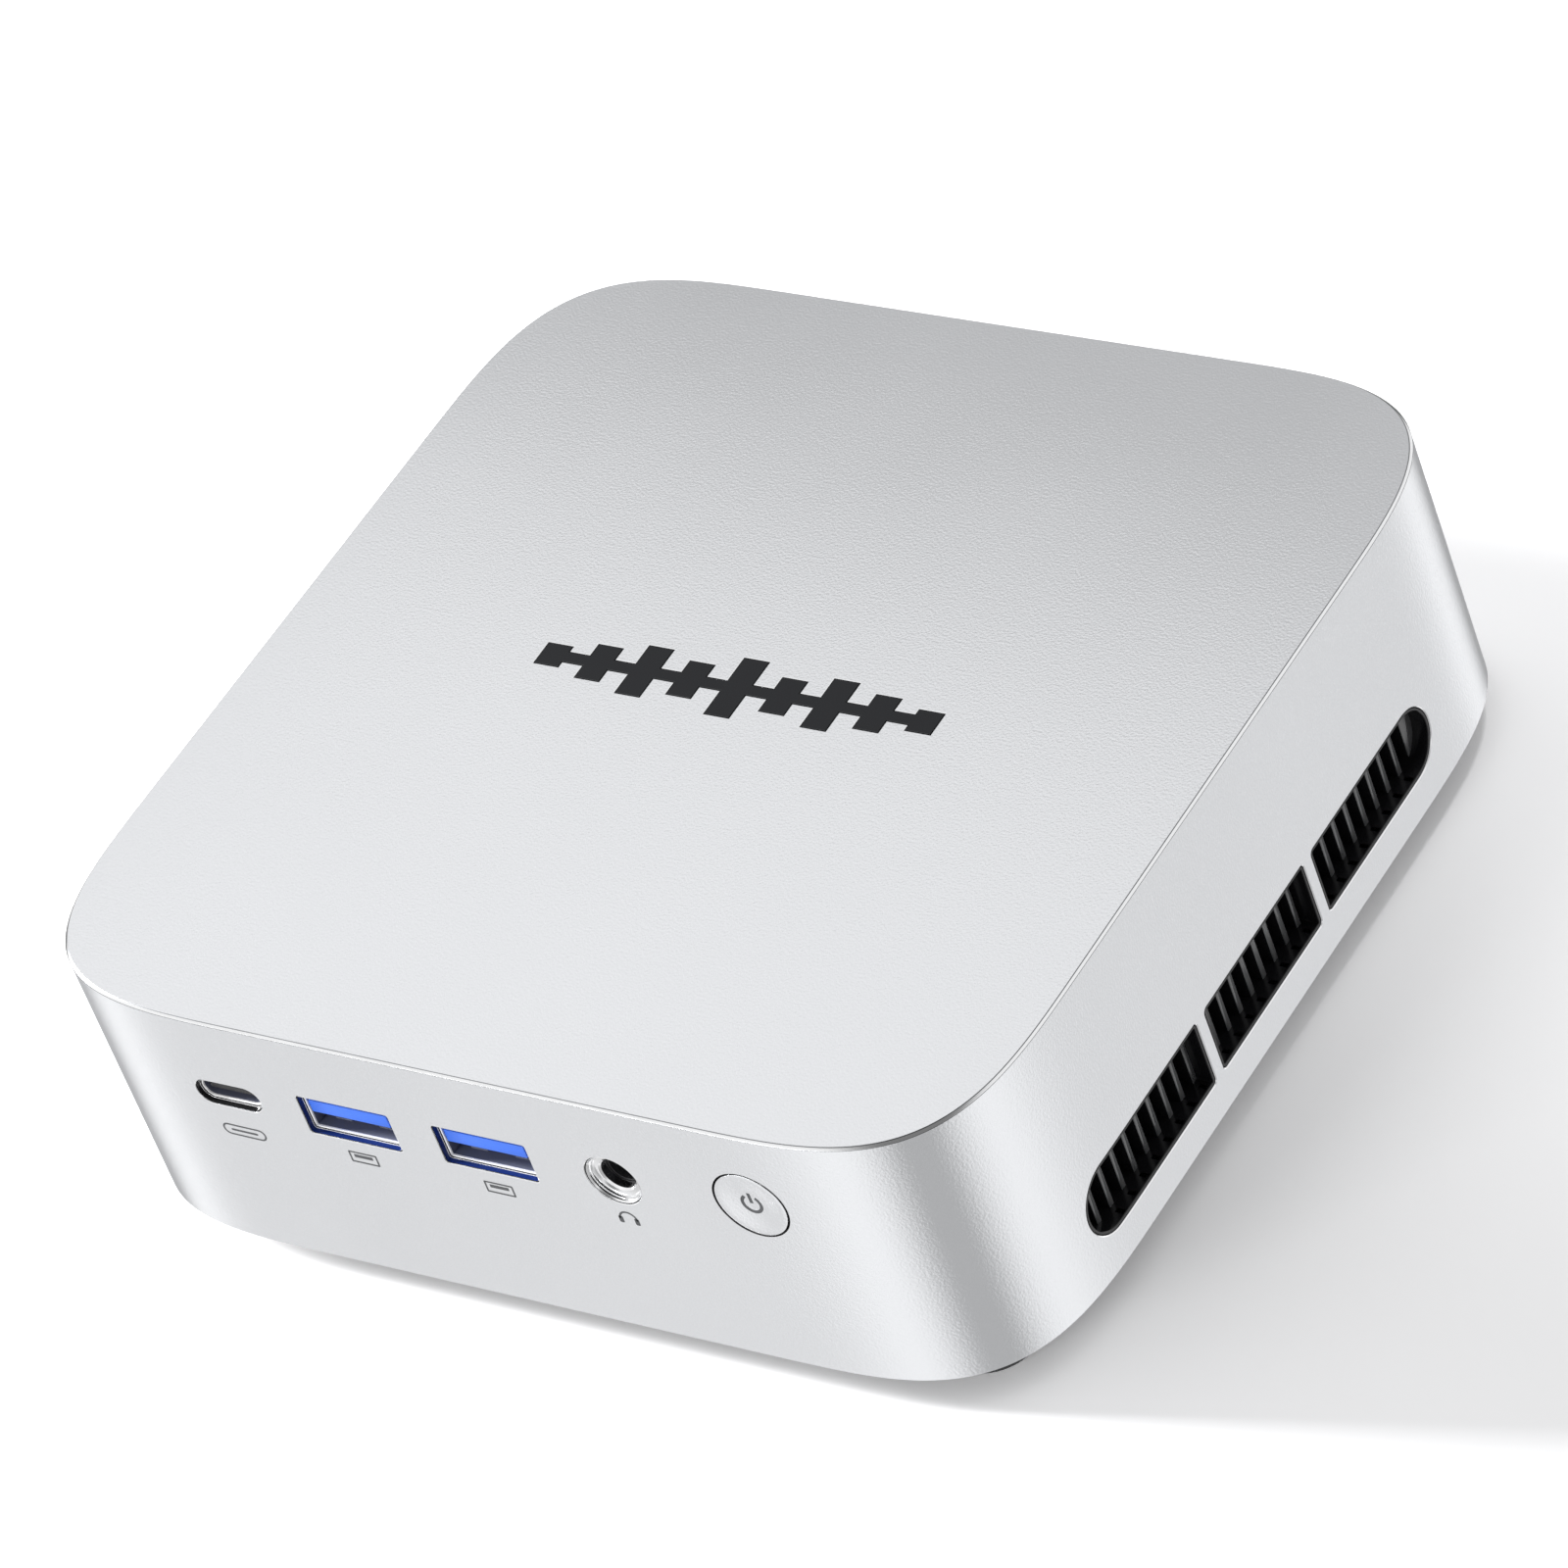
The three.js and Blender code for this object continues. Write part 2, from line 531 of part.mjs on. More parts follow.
/** The network socket: a metal box round a stepped hollow, and the insert with its eight contacts. */
function addEthernet() {
  const { width, height, depth, y } = ETHERNET;
  const x = REAR_X.ethernet;
  const front = -REAR_RECESS;
  const hollowDepth = [front - depth + 1, front + 1];
  const mouth = box([x - 6, x + 6], [y - 3.3, y + 4.9], hollowDepth);
  const latchSlot = box([x - 3.3, x + 3.3], [y - 5.1, y - 3.2], hollowDepth);
  const block = slab(pane(width, height, 0.4, x, y), front - depth, front);
  addPiece(REAR, "ethernet_shell", block.subtract(mouth.add(latchSlot)), CHROME);
  const contactPitch = 1.02;
  const insertBack = front - depth + 1.1;
  const insert = [box([x - 5.8, x + 5.8], [y - 3.1, y + 4.75], [insertBack, insertBack + 2])];
  for (let i = -3.5; i <= 3.5; i++) {
    const middle = x + i * contactPitch;
    insert.push(box([middle - 0.2, middle + 0.2], [y + 3.4, y + 4.6], [insertBack + 1.5, front - 3]));
  }
  addPiece(REAR, "ethernet_contacts", join(insert), BRASS);
}

function addPowerInlet() {
  const { width, height, depth, y, radius } = DC;
  const x = REAR_X.dc;
  const at = { x, y };
  const front = -REAR_RECESS;
  const sides = [[x - width / 2, x + width / 2], [y - height / 2 - 0.1, y + height / 2 - 0.1]];
  const block = box(...sides, [front - depth, front]);
  const bore = rod(radius, front - depth + 2, front + 1, at);
  const pinHole = rod(1.35, front - depth - 1, front, { ...at, segments: 16 });
  addPiece(REAR, "power_inlet_body", cutAll(block, [bore, pinHole]), BLACK_PLASTIC);
  const pin = rod(1.2, front - depth + 0.4, front - 1.5, { ...at, segments: 16 });
  addPiece(REAR, "power_inlet_pin", pin, BRASS);
}

function addPorts() {
  addUsbC();
  addUsbA(FRONT, "usb_a_front_left", FRONT_USB_X.left, -0.12);
  addUsbA(FRONT, "usb_a_front_right", FRONT_USB_X.right, -0.12);
  addAudioJack();
  addPowerButton();
  addPowerInlet();
  addHdmi("hdmi_left", REAR_X.hdmi_left);
  addHdmi("hdmi_right", REAR_X.hdmi_right);
  addEthernet();
  addUsbA(REAR, "usb_a_rear_left", REAR_X.usb_left, -REAR_RECESS);
  addUsbA(REAR, "usb_a_rear_right", REAR_X.usb_right, -REAR_RECESS);
}

// ---------- Cooling, hung under the motherboard ----------
const FAN = {
  bottom: 7.9,
  top: 18,
  halfWidth: 30,
  front: -14,
  rear: 46,
  bladeCount: 19,
  bladeTip: 24.5,
  hub: 12.5,
};
const BLADE_RAKE = -0.35;
const PROCESSOR = { x: 0, y: 8 };
const FINS = { halfWidth: 33, front: 47.2, rear: 58.8, count: 23, thickness: 0.8 };

/** The blower's tray: a roof and three walls, open to the rear and below, with the rotor's shaft. */
function fanHousing() {
  const { x, y } = FAN_CENTRE;
  const across = [-FAN.halfWidth, FAN.halfWidth];
  const wallBottom = FAN.bottom + 0.9;
  const roof = FAN.top - 1;
  const outside = slab(panel(across, [FAN.front, FAN.rear], 4), wallBottom, FAN.top);
  const scroll = rod(27.5, 0, roof, { x, y, segments: 32 });
  const outlet = box([-27.5, 27.5], [y, FAN.rear + 1], [0, roof]);
  const motor = rod(8, roof - 1.6, roof + 0.2, { x, y });
  const shaft = rod(1.4, FAN.bottom + 1.6, roof, { x, y, segments: 16 });
  return outside.subtract(scroll.add(outlet)).add(motor).add(shaft);
}

/** The rotor: a hub on the shaft and curved blades round it. */
function fanRotor() {
  const { x, y } = FAN_CENTRE;
  const low = FAN.bottom + 1.8;
  const high = FAN.top - 2.9;
  const chord = FAN.bladeTip - FAN.hub + 0.6;
  const bow = 26; // radius of a blade's curve
  const half = Math.asin(chord / 2 / bow);
  const arc = (radius) =>
    [-1, 0, 1].map((i) => [radius * Math.sin(i * half), radius * Math.cos(i * half) - bow]);
  const bladeShape = outline([...arc(bow - 0.4), ...arc(bow + 0.4).reverse()]);
  const pieces = [rod(FAN.hub, low, high, { segments: 24 })];
  for (let i = 0; i < FAN.bladeCount; i++) {
    const blade = plate(bladeShape, low + 0.3, high);
    blade.translate(chord / 2, bow * (1 - Math.cos(half)), 0).rotateZ(BLADE_RAKE);
    blade.translate(FAN.hub - 0.6, 0, 0).rotateZ((i / FAN.bladeCount) * 4 * QUARTER_TURN);
    pieces.push(solid(blade));
  }
  const rotor = join(pieces).subtract(rod(1.7, 0, HEIGHT, { segments: 16 }));
  return surface(rotor).translate(x, y, 0);
}

function fanCover() {
  const across = [-FAN.halfWidth, FAN.halfWidth];
  const sheet = slab(panel(across, [FAN.front, FAN.rear], 4), FAN.bottom, FAN.bottom + 0.8);
  return sheet.subtract(rod(20.5, 0, HEIGHT, { ...FAN_CENTRE, segments: 32 }));
}

/** The fin stack in front of the rear vent: a roof with fins hanging from it. */
function finStack() {
  const roof = FAN.top - 0.8;
  const pitch = (2 * FINS.halfWidth - FINS.thickness) / (FINS.count - 1);
  const pieces = [box([-FINS.halfWidth, FINS.halfWidth], [FINS.front, FINS.rear], [roof, FAN.top])];
  for (let i = 0; i < FINS.count; i++) {
    const left = -FINS.halfWidth + i * pitch;
    pieces.push(box([left, left + FINS.thickness], [FINS.front, FINS.rear], [FAN.bottom + 0.4, roof + 0.2]));
  }
  return join(pieces);
}

/** A flattened heat pipe from the processor to the fins. side is -1 for the left one. */
function heatPipe(side) {
  const start = { x: 9, y: -8 };
  const bend = { x: 21, y: 41, radius: 12 };
  const halfWidth = 3.9;
  const round = 0.8;
  const path = new THREE.Shape();
  const inner = bend.radius - halfWidth;
  const outer = bend.radius + halfWidth;
  path.moveTo(start.x - halfWidth, start.y);
  path.lineTo(start.x + halfWidth, start.y);
  path.absarc(bend.x, bend.y, inner, 2 * QUARTER_TURN, QUARTER_TURN, true);
  path.lineTo(FINS.halfWidth - 1, bend.y + inner);
  path.lineTo(FINS.halfWidth - 1, bend.y + outer);
  path.absarc(bend.x, bend.y, outer, QUARTER_TURN, 2 * QUARTER_TURN, false);
  const thick = 2.4;
  const bevel = { bevelThickness: round, bevelSize: round, bevelOffset: -round, bevelSegments: 2 };
  const pipe = new THREE.ExtrudeGeometry(path, { depth: thick - 2 * round, curveSegments: 4, ...bevel });
  pipe.translate(0, 0, FAN.top + 0.15 + round);
  return side > 0 ? pipe : pipe.rotateY(2 * QUARTER_TURN).translate(0, 0, 2 * (FAN.top + 0.15) + thick);
}

/** The copper plate on the processor, with four spring arms to its screw holes. */
function coldPlate() {
  const { x, y } = PROCESSOR;
  const levels = [FAN.top + 2.65, BOARD_BOTTOM - 1.95];
  const arms = [];
  const holes = [];
  for (const [, sx, sy] of FOUR_CORNERS) {
    const tip = { x: x + sx * 25, y: y + sy * 17 };
    arms.push(box([Math.min(x, tip.x), Math.max(x, tip.x)], [tip.y - 3, tip.y + 3], levels));
    holes.push(rod(1.6, 0, HEIGHT, { ...tip, x: tip.x - sx * 3, segments: 12 }));
  }
  const plateBlock = box([x - 20, x + 20], [y - 19, y + 19], levels);
  return cutAll(plateBlock.add(join(arms)), holes);
}

function addCooling() {
  const { x, y } = PROCESSOR;
  const substrate = box([x - 14, x + 14], [y - 12.5, y + 12.5], [BOARD_BOTTOM - 1.15, BOARD_BOTTOM - 0.05]);
  const die = box([x - 8, x + 8], [y - 5.5, y + 5.5], [BOARD_BOTTOM - 1.9, BOARD_BOTTOM - 1]);
  addPiece(computer, "processor", substrate.add(die), CHIP);
  addPiece(computer, "cold_plate", coldPlate(), COPPER);
  addPiece(computer, "heat_pipe_left", heatPipe(-1), COPPER);
  addPiece(computer, "heat_pipe_right", heatPipe(1), COPPER);
  addPiece(computer, "fin_stack", finStack(), ALUMINIUM);
  addPiece(computer, "fan_housing", fanHousing(), BLACK_PLASTIC);
  addPiece(computer, "fan_rotor", fanRotor(), CHARCOAL);
  addPiece(computer, "fan_cover", fanCover(), STEEL);
}

// ---------- Motherboard and what plugs into it ----------
const BOARD = { halfX: 54, front: -61.4, rear: 60.8, notch: 46.8, buttonNotch: -57.9 };
const RAM = { x: 5, y: [-54, -24], halfWidth: 33.8, middleZ: BOARD_BOTTOM - 2.9 };
const SSD = { x: -43.5, y: [-33, 47], z: BOARD_BOTTOM - 3.4 };
const WIFI = { x: 43.5, y: [4, 34], z: BOARD_BOTTOM - 3.4 };
const BATTERY = { x: 43, y: -9.8, radius: 10.1, height: 3.6 };

/** The board with its sockets, coils, capacitors and small chips soldered on. */
function motherboard() {
  const { halfX, front, rear, notch } = BOARD;
  const levels = [BOARD_BOTTOM, BOARD_TOP];
  const across = box([-halfX, halfX], [-notch, notch], levels);
  const board = across.add(box([-notch, notch], [front, rear], levels));
  const above = [BOARD_TOP - 0.3, BOARD_TOP + 3.2];
  const soldered = [];
  for (let i = 0; i < 5; i++) soldered.push(box([-34 + i * 9, -27 + i * 9], [-8, -1], above));
  for (let i = 0; i < 6; i++) {
    soldered.push(rod(2.6, BOARD_TOP - 0.3, BOARD_TOP + 5.5, { x: -32 + i * 8, y: 8, segments: 10 }));
  }
  for (const [x, y, size] of [[30, 10, 9], [-20, 28, 7], [8, 26, 10], [32, -22, 6], [-30, -28, 6]]) {
    const height = [BOARD_TOP - 0.3, BOARD_TOP + 1.1];
    soldered.push(box([x - size / 2, x + size / 2], [y - size / 2, y + size / 2], height));
  }
  const screwHoles = FOUR_CORNERS.map(([, sx, sy]) =>
    rod(1.6, 0, HEIGHT, { x: sx * BOARD_SCREW.x, y: sy * BOARD_SCREW.y, segments: 10 }),
  );
  const standoff = rod(2.4, SSD.z + 0.9, BOARD_BOTTOM + 0.3, { x: SSD.x, y: SSD.y[1] - 0.5, segments: 12 });
  const standoffHole = rod(1.1, 0, BOARD_BOTTOM - 0.2, { x: SSD.x, y: SSD.y[1] - 0.5, segments: 12 });
  const buttonNotch = box([BUTTON.x - 7.5, BUTTON.x + 7.5], [-HALF, BOARD.buttonNotch], [0, HEIGHT]);
  const wifiSocket = m2Socket(WIFI.x, WIFI.y[1], WIFI.z, 1, BOARD_BOTTOM + 0.2);
  const fitted = join([board, standoff, wifiSocket, ...soldered]);
  return cutAll(fitted, [...screwHoles, standoffHole, buttonNotch]);
}

/** The memory module's socket: a slotted bar with a latch arm at each end. */
function ramSocket() {
  const { x, halfWidth, middleZ } = RAM;
  const edge = RAM.y[1];
  const levels = [middleZ - 1.4, BOARD_BOTTOM - 0.05];
  const bar = box([x - 36, x + 36], [edge - 3.5, edge + 3], levels);
  const card = [x - halfWidth - 0.3, x + halfWidth + 0.3];
  const slot = box(card, [edge - 4, edge + 0.3], [middleZ - 0.8, middleZ + 0.8]);
  const arms = BOTH_SIDES.map((side) => {
    const middle = x + side * 35.2;
    return box([middle - 0.9, middle + 0.9], [edge - 24, edge - 3], levels);
  });
  return bar.subtract(slot).add(join(arms));
}

/** A memory module: a thin card with four chips on each face. */
function ramModule() {
  const { x, y, halfWidth, middleZ } = RAM;
  const pieces = [box([x - halfWidth, x + halfWidth], y, [middleZ - 0.6, middleZ + 0.6])];
  for (let i = -1.5; i <= 1.5; i++) {
    const middle = x + i * 16;
    pieces.push(box([middle - 5, middle + 5], [y[0] + 5, y[0] + 19], [middleZ - 1.7, middleZ + 1.7]));
  }
  return join(pieces);
}

/** An M.2 socket: a bar that grips the card's edge at y, on the side that away points to. */
function m2Socket(x, y, cardZ, away, top = BOARD_BOTTOM - 0.05) {
  const near = y - away * 2;
  const far = y + away * 4;
  const along = [Math.min(near, far), Math.max(near, far)];
  const bar = box([x - 11, x + 11], along, [cardZ - 0.9, top]);
  const mouth = [y - away * 3, y + away * 0.3].sort((a, b) => a - b);
  return bar.subtract(box([x - 10.2, x + 10.2], mouth, [cardZ - 0.15, cardZ + 0.95]));
}

/** An M.2 card 20 mm wide at its socket end, with chips below: [x, y, width, length] each. */
function m2Card(x, [y0, y1], z, chips, screwEnd) {
  const card = box([x - 10, x + 10], [y0, y1], [z, z + 0.8]);
  const made = chips.map(([cx, cy, w, l]) =>
    box([cx - w / 2, cx + w / 2], [cy - l / 2, cy + l / 2], [z - 1.3, z + 0.2]),
  );
  return card.add(join(made)).subtract(rod(1.7, 0, HEIGHT, { x, y: screwEnd, segments: 16 }));
}

function addBoards() {
  addPiece(computer, "motherboard", motherboard(), CIRCUIT_BOARD);
  for (const [corner, sx, sy] of FOUR_CORNERS) {
    const made = screw(sx * BOARD_SCREW.x, sy * BOARD_SCREW.y, BOARD_BOTTOM - 0.05, SMALL_SCREW);
    addPiece(computer, `board_screw_${corner}`, made, STEEL);
  }
  addPiece(computer, "memory_socket", ramSocket(), BLACK_PLASTIC);
  addPiece(computer, "memory_module", ramModule(), CIRCUIT_BOARD);
  const chips = [[SSD.x, -18, 16, 18], [SSD.x, 4, 12, 14], [SSD.x, 24, 16, 18]];
  addPiece(computer, "ssd_socket", m2Socket(SSD.x, SSD.y[0], SSD.z, -1), BLACK_PLASTIC);
  addPiece(computer, "ssd_module", m2Card(SSD.x, SSD.y, SSD.z, chips, SSD.y[1] - 0.5), CIRCUIT_BOARD);
  const ssdScrew = { headRadius: 2.4, headHeight: 0.9, shankRadius: 0.95, length: 2.6 };
  addPiece(computer, "ssd_screw", screw(SSD.x, SSD.y[1] - 0.5, SSD.z - 0.05, ssdScrew), STEEL);
  const shield = [[WIFI.x, WIFI.y[0] + 15, 17, 18]];
  addPiece(computer, "wifi_card", m2Card(WIFI.x, WIFI.y, WIFI.z, shield, WIFI.y[0] + 0.5), CIRCUIT_BOARD);
  const { x, y, radius, height } = BATTERY;
  const cell = rod(radius, BOARD_BOTTOM - height - 0.05, BOARD_BOTTOM - 0.05, { x, y });
  addPiece(computer, "clock_battery", cell, STEEL);
}

addCase();
addVents();
addPorts();
addCooling();
addBoards();

export default computer;
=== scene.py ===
import math

import bmesh
import bpy
from mathutils import Matrix, Quaternion, Vector


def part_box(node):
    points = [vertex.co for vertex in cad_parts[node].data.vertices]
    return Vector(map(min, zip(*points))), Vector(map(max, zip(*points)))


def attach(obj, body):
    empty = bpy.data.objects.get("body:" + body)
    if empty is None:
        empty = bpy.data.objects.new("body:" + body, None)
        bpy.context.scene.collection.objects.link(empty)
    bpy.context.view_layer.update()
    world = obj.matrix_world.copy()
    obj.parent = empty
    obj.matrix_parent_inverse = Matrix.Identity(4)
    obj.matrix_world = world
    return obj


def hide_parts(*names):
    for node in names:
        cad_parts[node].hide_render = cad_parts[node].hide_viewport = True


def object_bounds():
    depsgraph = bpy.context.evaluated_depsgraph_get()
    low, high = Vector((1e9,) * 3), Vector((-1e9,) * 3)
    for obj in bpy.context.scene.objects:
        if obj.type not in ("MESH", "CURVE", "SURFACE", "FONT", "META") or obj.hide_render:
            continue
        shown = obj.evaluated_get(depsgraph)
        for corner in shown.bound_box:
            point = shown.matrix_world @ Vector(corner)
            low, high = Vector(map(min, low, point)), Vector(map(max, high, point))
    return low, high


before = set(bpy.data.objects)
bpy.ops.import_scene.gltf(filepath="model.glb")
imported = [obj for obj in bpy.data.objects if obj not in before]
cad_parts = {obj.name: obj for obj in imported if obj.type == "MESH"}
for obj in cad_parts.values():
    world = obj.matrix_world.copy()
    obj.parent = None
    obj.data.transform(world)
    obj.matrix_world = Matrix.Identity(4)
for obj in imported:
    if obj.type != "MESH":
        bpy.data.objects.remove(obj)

MM = 0.001
cad_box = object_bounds()

# ---------- Driving dimensions ----------
HALF = cad_box[1].x / MM  # half of the case's width and depth
HEIGHT = cad_box[1].z / MM  # from the soles of the feet to the top face
CORNER = 34  # length of a rounded corner along each side
SQUARENESS = 3.7  # superellipse exponent of the corners: 2 is a quarter circle
WALL = 1.2
TOP_THICKNESS = 1.6
SHELL_BOTTOM = 4.1  # lower edge of the shell
EDGE = 0.12  # polished chamfer round each opening
STRAIGHT = HALF - CORNER
CORNER_STEPS = 26  # rings' steps along each half of a corner
TURN = 2 * math.pi
CREASE = 30  # degrees: a sharper edge than this isn't smoothed


# ---------- Outlines: lists of 2D points, anticlockwise ----------
def case_outline(inset=0.0):
    """The case's outline from above, moved inwards by inset."""
    radius = CORNER - inset
    diagonal = 2 ** (-1 / SQUARENESS)
    eighth = []
    for i in range(CORNER_STEPS + 1):
        x = diagonal * math.sin(TURN / 4 * i / CORNER_STEPS)
        eighth.append((x, (1 - x**SQUARENESS) ** (1 / SQUARENESS)))
    corner = [(y, x) for x, y in eighth] + eighth[-2::-1]
    points = []
    for quarter in range(4):
        turn = Matrix.Rotation(quarter * TURN / 4, 2)
        points += [turn @ Vector((STRAIGHT + radius * x, STRAIGHT + radius * y)) for x, y in corner]
    return points


def arc(centre, radius, start, sweep, steps):
    """Points along an arc, with the angles in degrees."""
    angles = [math.radians(start + sweep * i / steps) for i in range(steps + 1)]
    return [Vector((centre[0] + radius * math.cos(a), centre[1] + radius * math.sin(a))) for a in angles]


def circle(centre, radius, steps=48):
    return arc(centre, radius, 0, 360, steps)[:-1]


def panel(left, right, bottom, top, left_radius, right_radius=None, steps=6):
    """A rectangle whose left and right pairs of corners are rounded, up to a full half circle."""
    most = (top - bottom) / 2 - 0.001
    a = min(left_radius, most)
    b = min(left_radius if right_radius is None else right_radius, most)
    return [
        *arc((right - b, top - b), b, 0, 90, steps),
        *arc((left + a, top - a), a, 90, 90, steps),
        *arc((left + a, bottom + a), a, 180, 90, steps),
        *arc((right - b, bottom + b), b, 270, 90, steps),
    ]


def pane(centre, width, height, radius, steps=6):
    """A panel by its middle and its size."""
    x, y = centre
    return panel(x - width / 2, x + width / 2, y - height / 2, y + height / 2, radius, steps=steps)


def offset(outline, distance):
    """The outline moved outwards by distance, each corner along its mitre."""
    moved = []
    for before, here, after in zip(outline[-1:] + outline[:-1], outline, outline[1:] + outline[:1]):
        a = (here - before).normalized()
        b = (after - here).normalized()
        mitre = Vector((a.y + b.y, -a.x - b.x)) / (1 + a.dot(b))
        moved.append(here + mitre * distance)
    return moved


def densify(outline, step=1.5):
    """The same outline with no edge longer than step, so that it can follow a curved wall."""
    points = []
    for here, after in zip(outline, outline[1:] + outline[:1]):
        count = max(1, math.ceil((after - here).length / step))
        points += [here.lerp(after, i / count) for i in range(count)]
    return points


# ---------- The four walls ----------
def recede(u):
    """How far the outer face lies behind the wall's plane at u, where the corner has begun to curve."""
    beyond = max(abs(u) - STRAIGHT, 0) / CORNER
    return CORNER * (1 - (1 - beyond**SQUARENESS) ** (1 / SQUARENESS))


class Wall:
    """One side of the case. u runs to the right seen from outside, z up, and depth inwards."""

    def __init__(self, turns):
        self.matrix = Matrix.Rotation(turns * TURN / 4, 3, "Z")

    def ring(self, outline, depth, follow=False):
        """An outline laid in the wall at a depth below its plane, or below its curved face."""
        bend = recede if follow else lambda u: 0
        return [self.matrix @ Vector((u, depth + bend(u) - HALF, z)) for u, z in outline]

    def span(self, node):
        """A CAD node's (lowest, highest) u, z and depth in this wall."""
        corners = [self.matrix.inverted() @ (corner / MM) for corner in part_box(node)]
        (u0, u1), (d0, d1), (z0, z1) = (sorted(axis) for axis in zip(*corners))
        return (u0, u1), (z0, z1), (d0 + HALF, d1 + HALF)

    def centre(self, node):
        (u0, u1), (z0, z1), _ = self.span(node)
        return (u0 + u1) / 2, (z0 + z1) / 2


FRONT, RIGHT, REAR, LEFT = (Wall(turns) for turns in range(4))


# ---------- Shapes ----------
class Shape:
    """Points in millimetres, and faces that each name a finish by its place in the piece's list."""

    def __init__(self):
        self.points = []
        self.faces = []

    def skin(self, rings, finishes=0, caps=True):
        """Joins rings of equal length into one closed skin. finishes may give one for each band."""
        count = len(rings[0])
        bands = [finishes] * (len(rings) - 1) if isinstance(finishes, int) else finishes
        base = len(self.points)
        for ring in rings:
            self.points += ring
        for band, finish in enumerate(bands):
            for i in range(count):
                a = base + band * count + i
                b = base + band * count + (i + 1) % count
                self.faces.append(((a, b, b + count, a + count), finish))
        if caps:
            last = base + (len(rings) - 1) * count
            self.faces.append((tuple(range(base, base + count)), bands[0]))
            self.faces.append((tuple(range(last, last + count)), bands[-1]))
        return self

    def loop(self, rings, finishes=0):
        """As skin, but the last ring joins the first, as round a tube's wall."""
        bands = [finishes] * len(rings) if isinstance(finishes, int) else finishes
        return self.skin([*rings, rings[0]], bands, caps=False)

    def slab(self, wall, outline, front, back, round_edge=0.0, finish=0, face=None):
        """An outline given thickness in a wall, its front edge rounded off. face is the front's finish."""
        rings = [wall.ring(outline, back), wall.ring(outline, front + round_edge)]
        if round_edge:
            rings.append(wall.ring(offset(outline, -0.3 * round_edge), front + 0.3 * round_edge))
            rings.append(wall.ring(offset(outline, -round_edge), front))
        front_bands = len(rings) - 2
        return self.skin(rings, [finish] + [finish if face is None else face] * front_bands)

    def mesh(self, name):
        """The shape as a Blender mesh, welded, with its faces pointing out."""
        made = bmesh.new()
        corners = [made.verts.new(Vector(point) * MM) for point in self.points]
        for face, finish in self.faces:
            new = made.faces.new([corners[i] for i in face])
            new.material_index = finish
            new.smooth = True
        bmesh.ops.remove_doubles(made, verts=made.verts, dist=1e-7)
        bmesh.ops.recalc_face_normals(made, faces=made.faces)
        mesh = bpy.data.meshes.new(name)
        made.to_mesh(mesh)
        made.free()
        return mesh


def flat(outline, z):
    """A level outline as a ring."""
    return [Vector((x, y, z)) for x, y in outline]


def lathe_rings(profile, steps=48, centre=(0, 0)):
    """Rings round an upright axis from (radius, height) pairs."""
    return [flat(circle(centre, max(radius, 0.001), steps), z) for radius, z in profile]


def wall_rings(wall, profile, centre, steps=48):
    """Rings round an axis that points into a wall, from (radius, depth) pairs."""
    return [wall.ring(circle(centre, max(radius, 0.001), steps), depth) for radius, depth in profile]


def add_piece(name, shape, finishes, body="case", replaces=(), crease=CREASE):
    """Makes a piece from a shape or a mesh, with its finishes, and lets it ride on a CAD body."""
    mesh = shape
    if isinstance(shape, Shape):
        mesh = shape.mesh(name)
        for finish in finishes:
            mesh.materials.append(finish)
    mesh.name = name
    if not mesh.has_custom_normals:
        mesh.set_sharp_from_angle(angle=math.radians(crease))
    piece = bpy.data.objects.new(name, mesh)
    bpy.context.scene.collection.objects.link(piece)
    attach(piece, body)
    if replaces:
        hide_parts(*replaces)
    return piece


def cut(body, tools, finishes):
    """The mesh of one shape less another, both with the same list of finishes."""
    pair = []
    for name, shape in (("body", body), ("tools", tools)):
        mesh = shape.mesh(name)
        for finish in finishes:
            mesh.materials.append(finish)
        pair.append(bpy.data.objects.new(name, mesh))
        bpy.context.scene.collection.objects.link(pair[-1])
    modifier = pair[0].modifiers.new("cut", "BOOLEAN")
    modifier.operation = "DIFFERENCE"
    modifier.solver = "MANIFOLD"
    modifier.object = pair[1]
    graph = bpy.context.evaluated_depsgraph_get()
    mesh = bpy.data.meshes.new_from_object(pair[0].evaluated_get(graph))
    for item in pair:
        bpy.data.objects.remove(item)
    return mesh


# ---------- Materials ----------
def add_node(tree, kind, inputs=None, **settings):
    """Adds a node. Each input is a value or another node's output."""
    node = tree.nodes.new(kind)
    for key, value in settings.items():
        setattr(node, key, value)
    for key, value in (inputs or {}).items():
        if isinstance(value, bpy.types.NodeSocket):
            tree.links.new(value, node.inputs[key])
        else:
            node.inputs[key].default_value = value
    return node


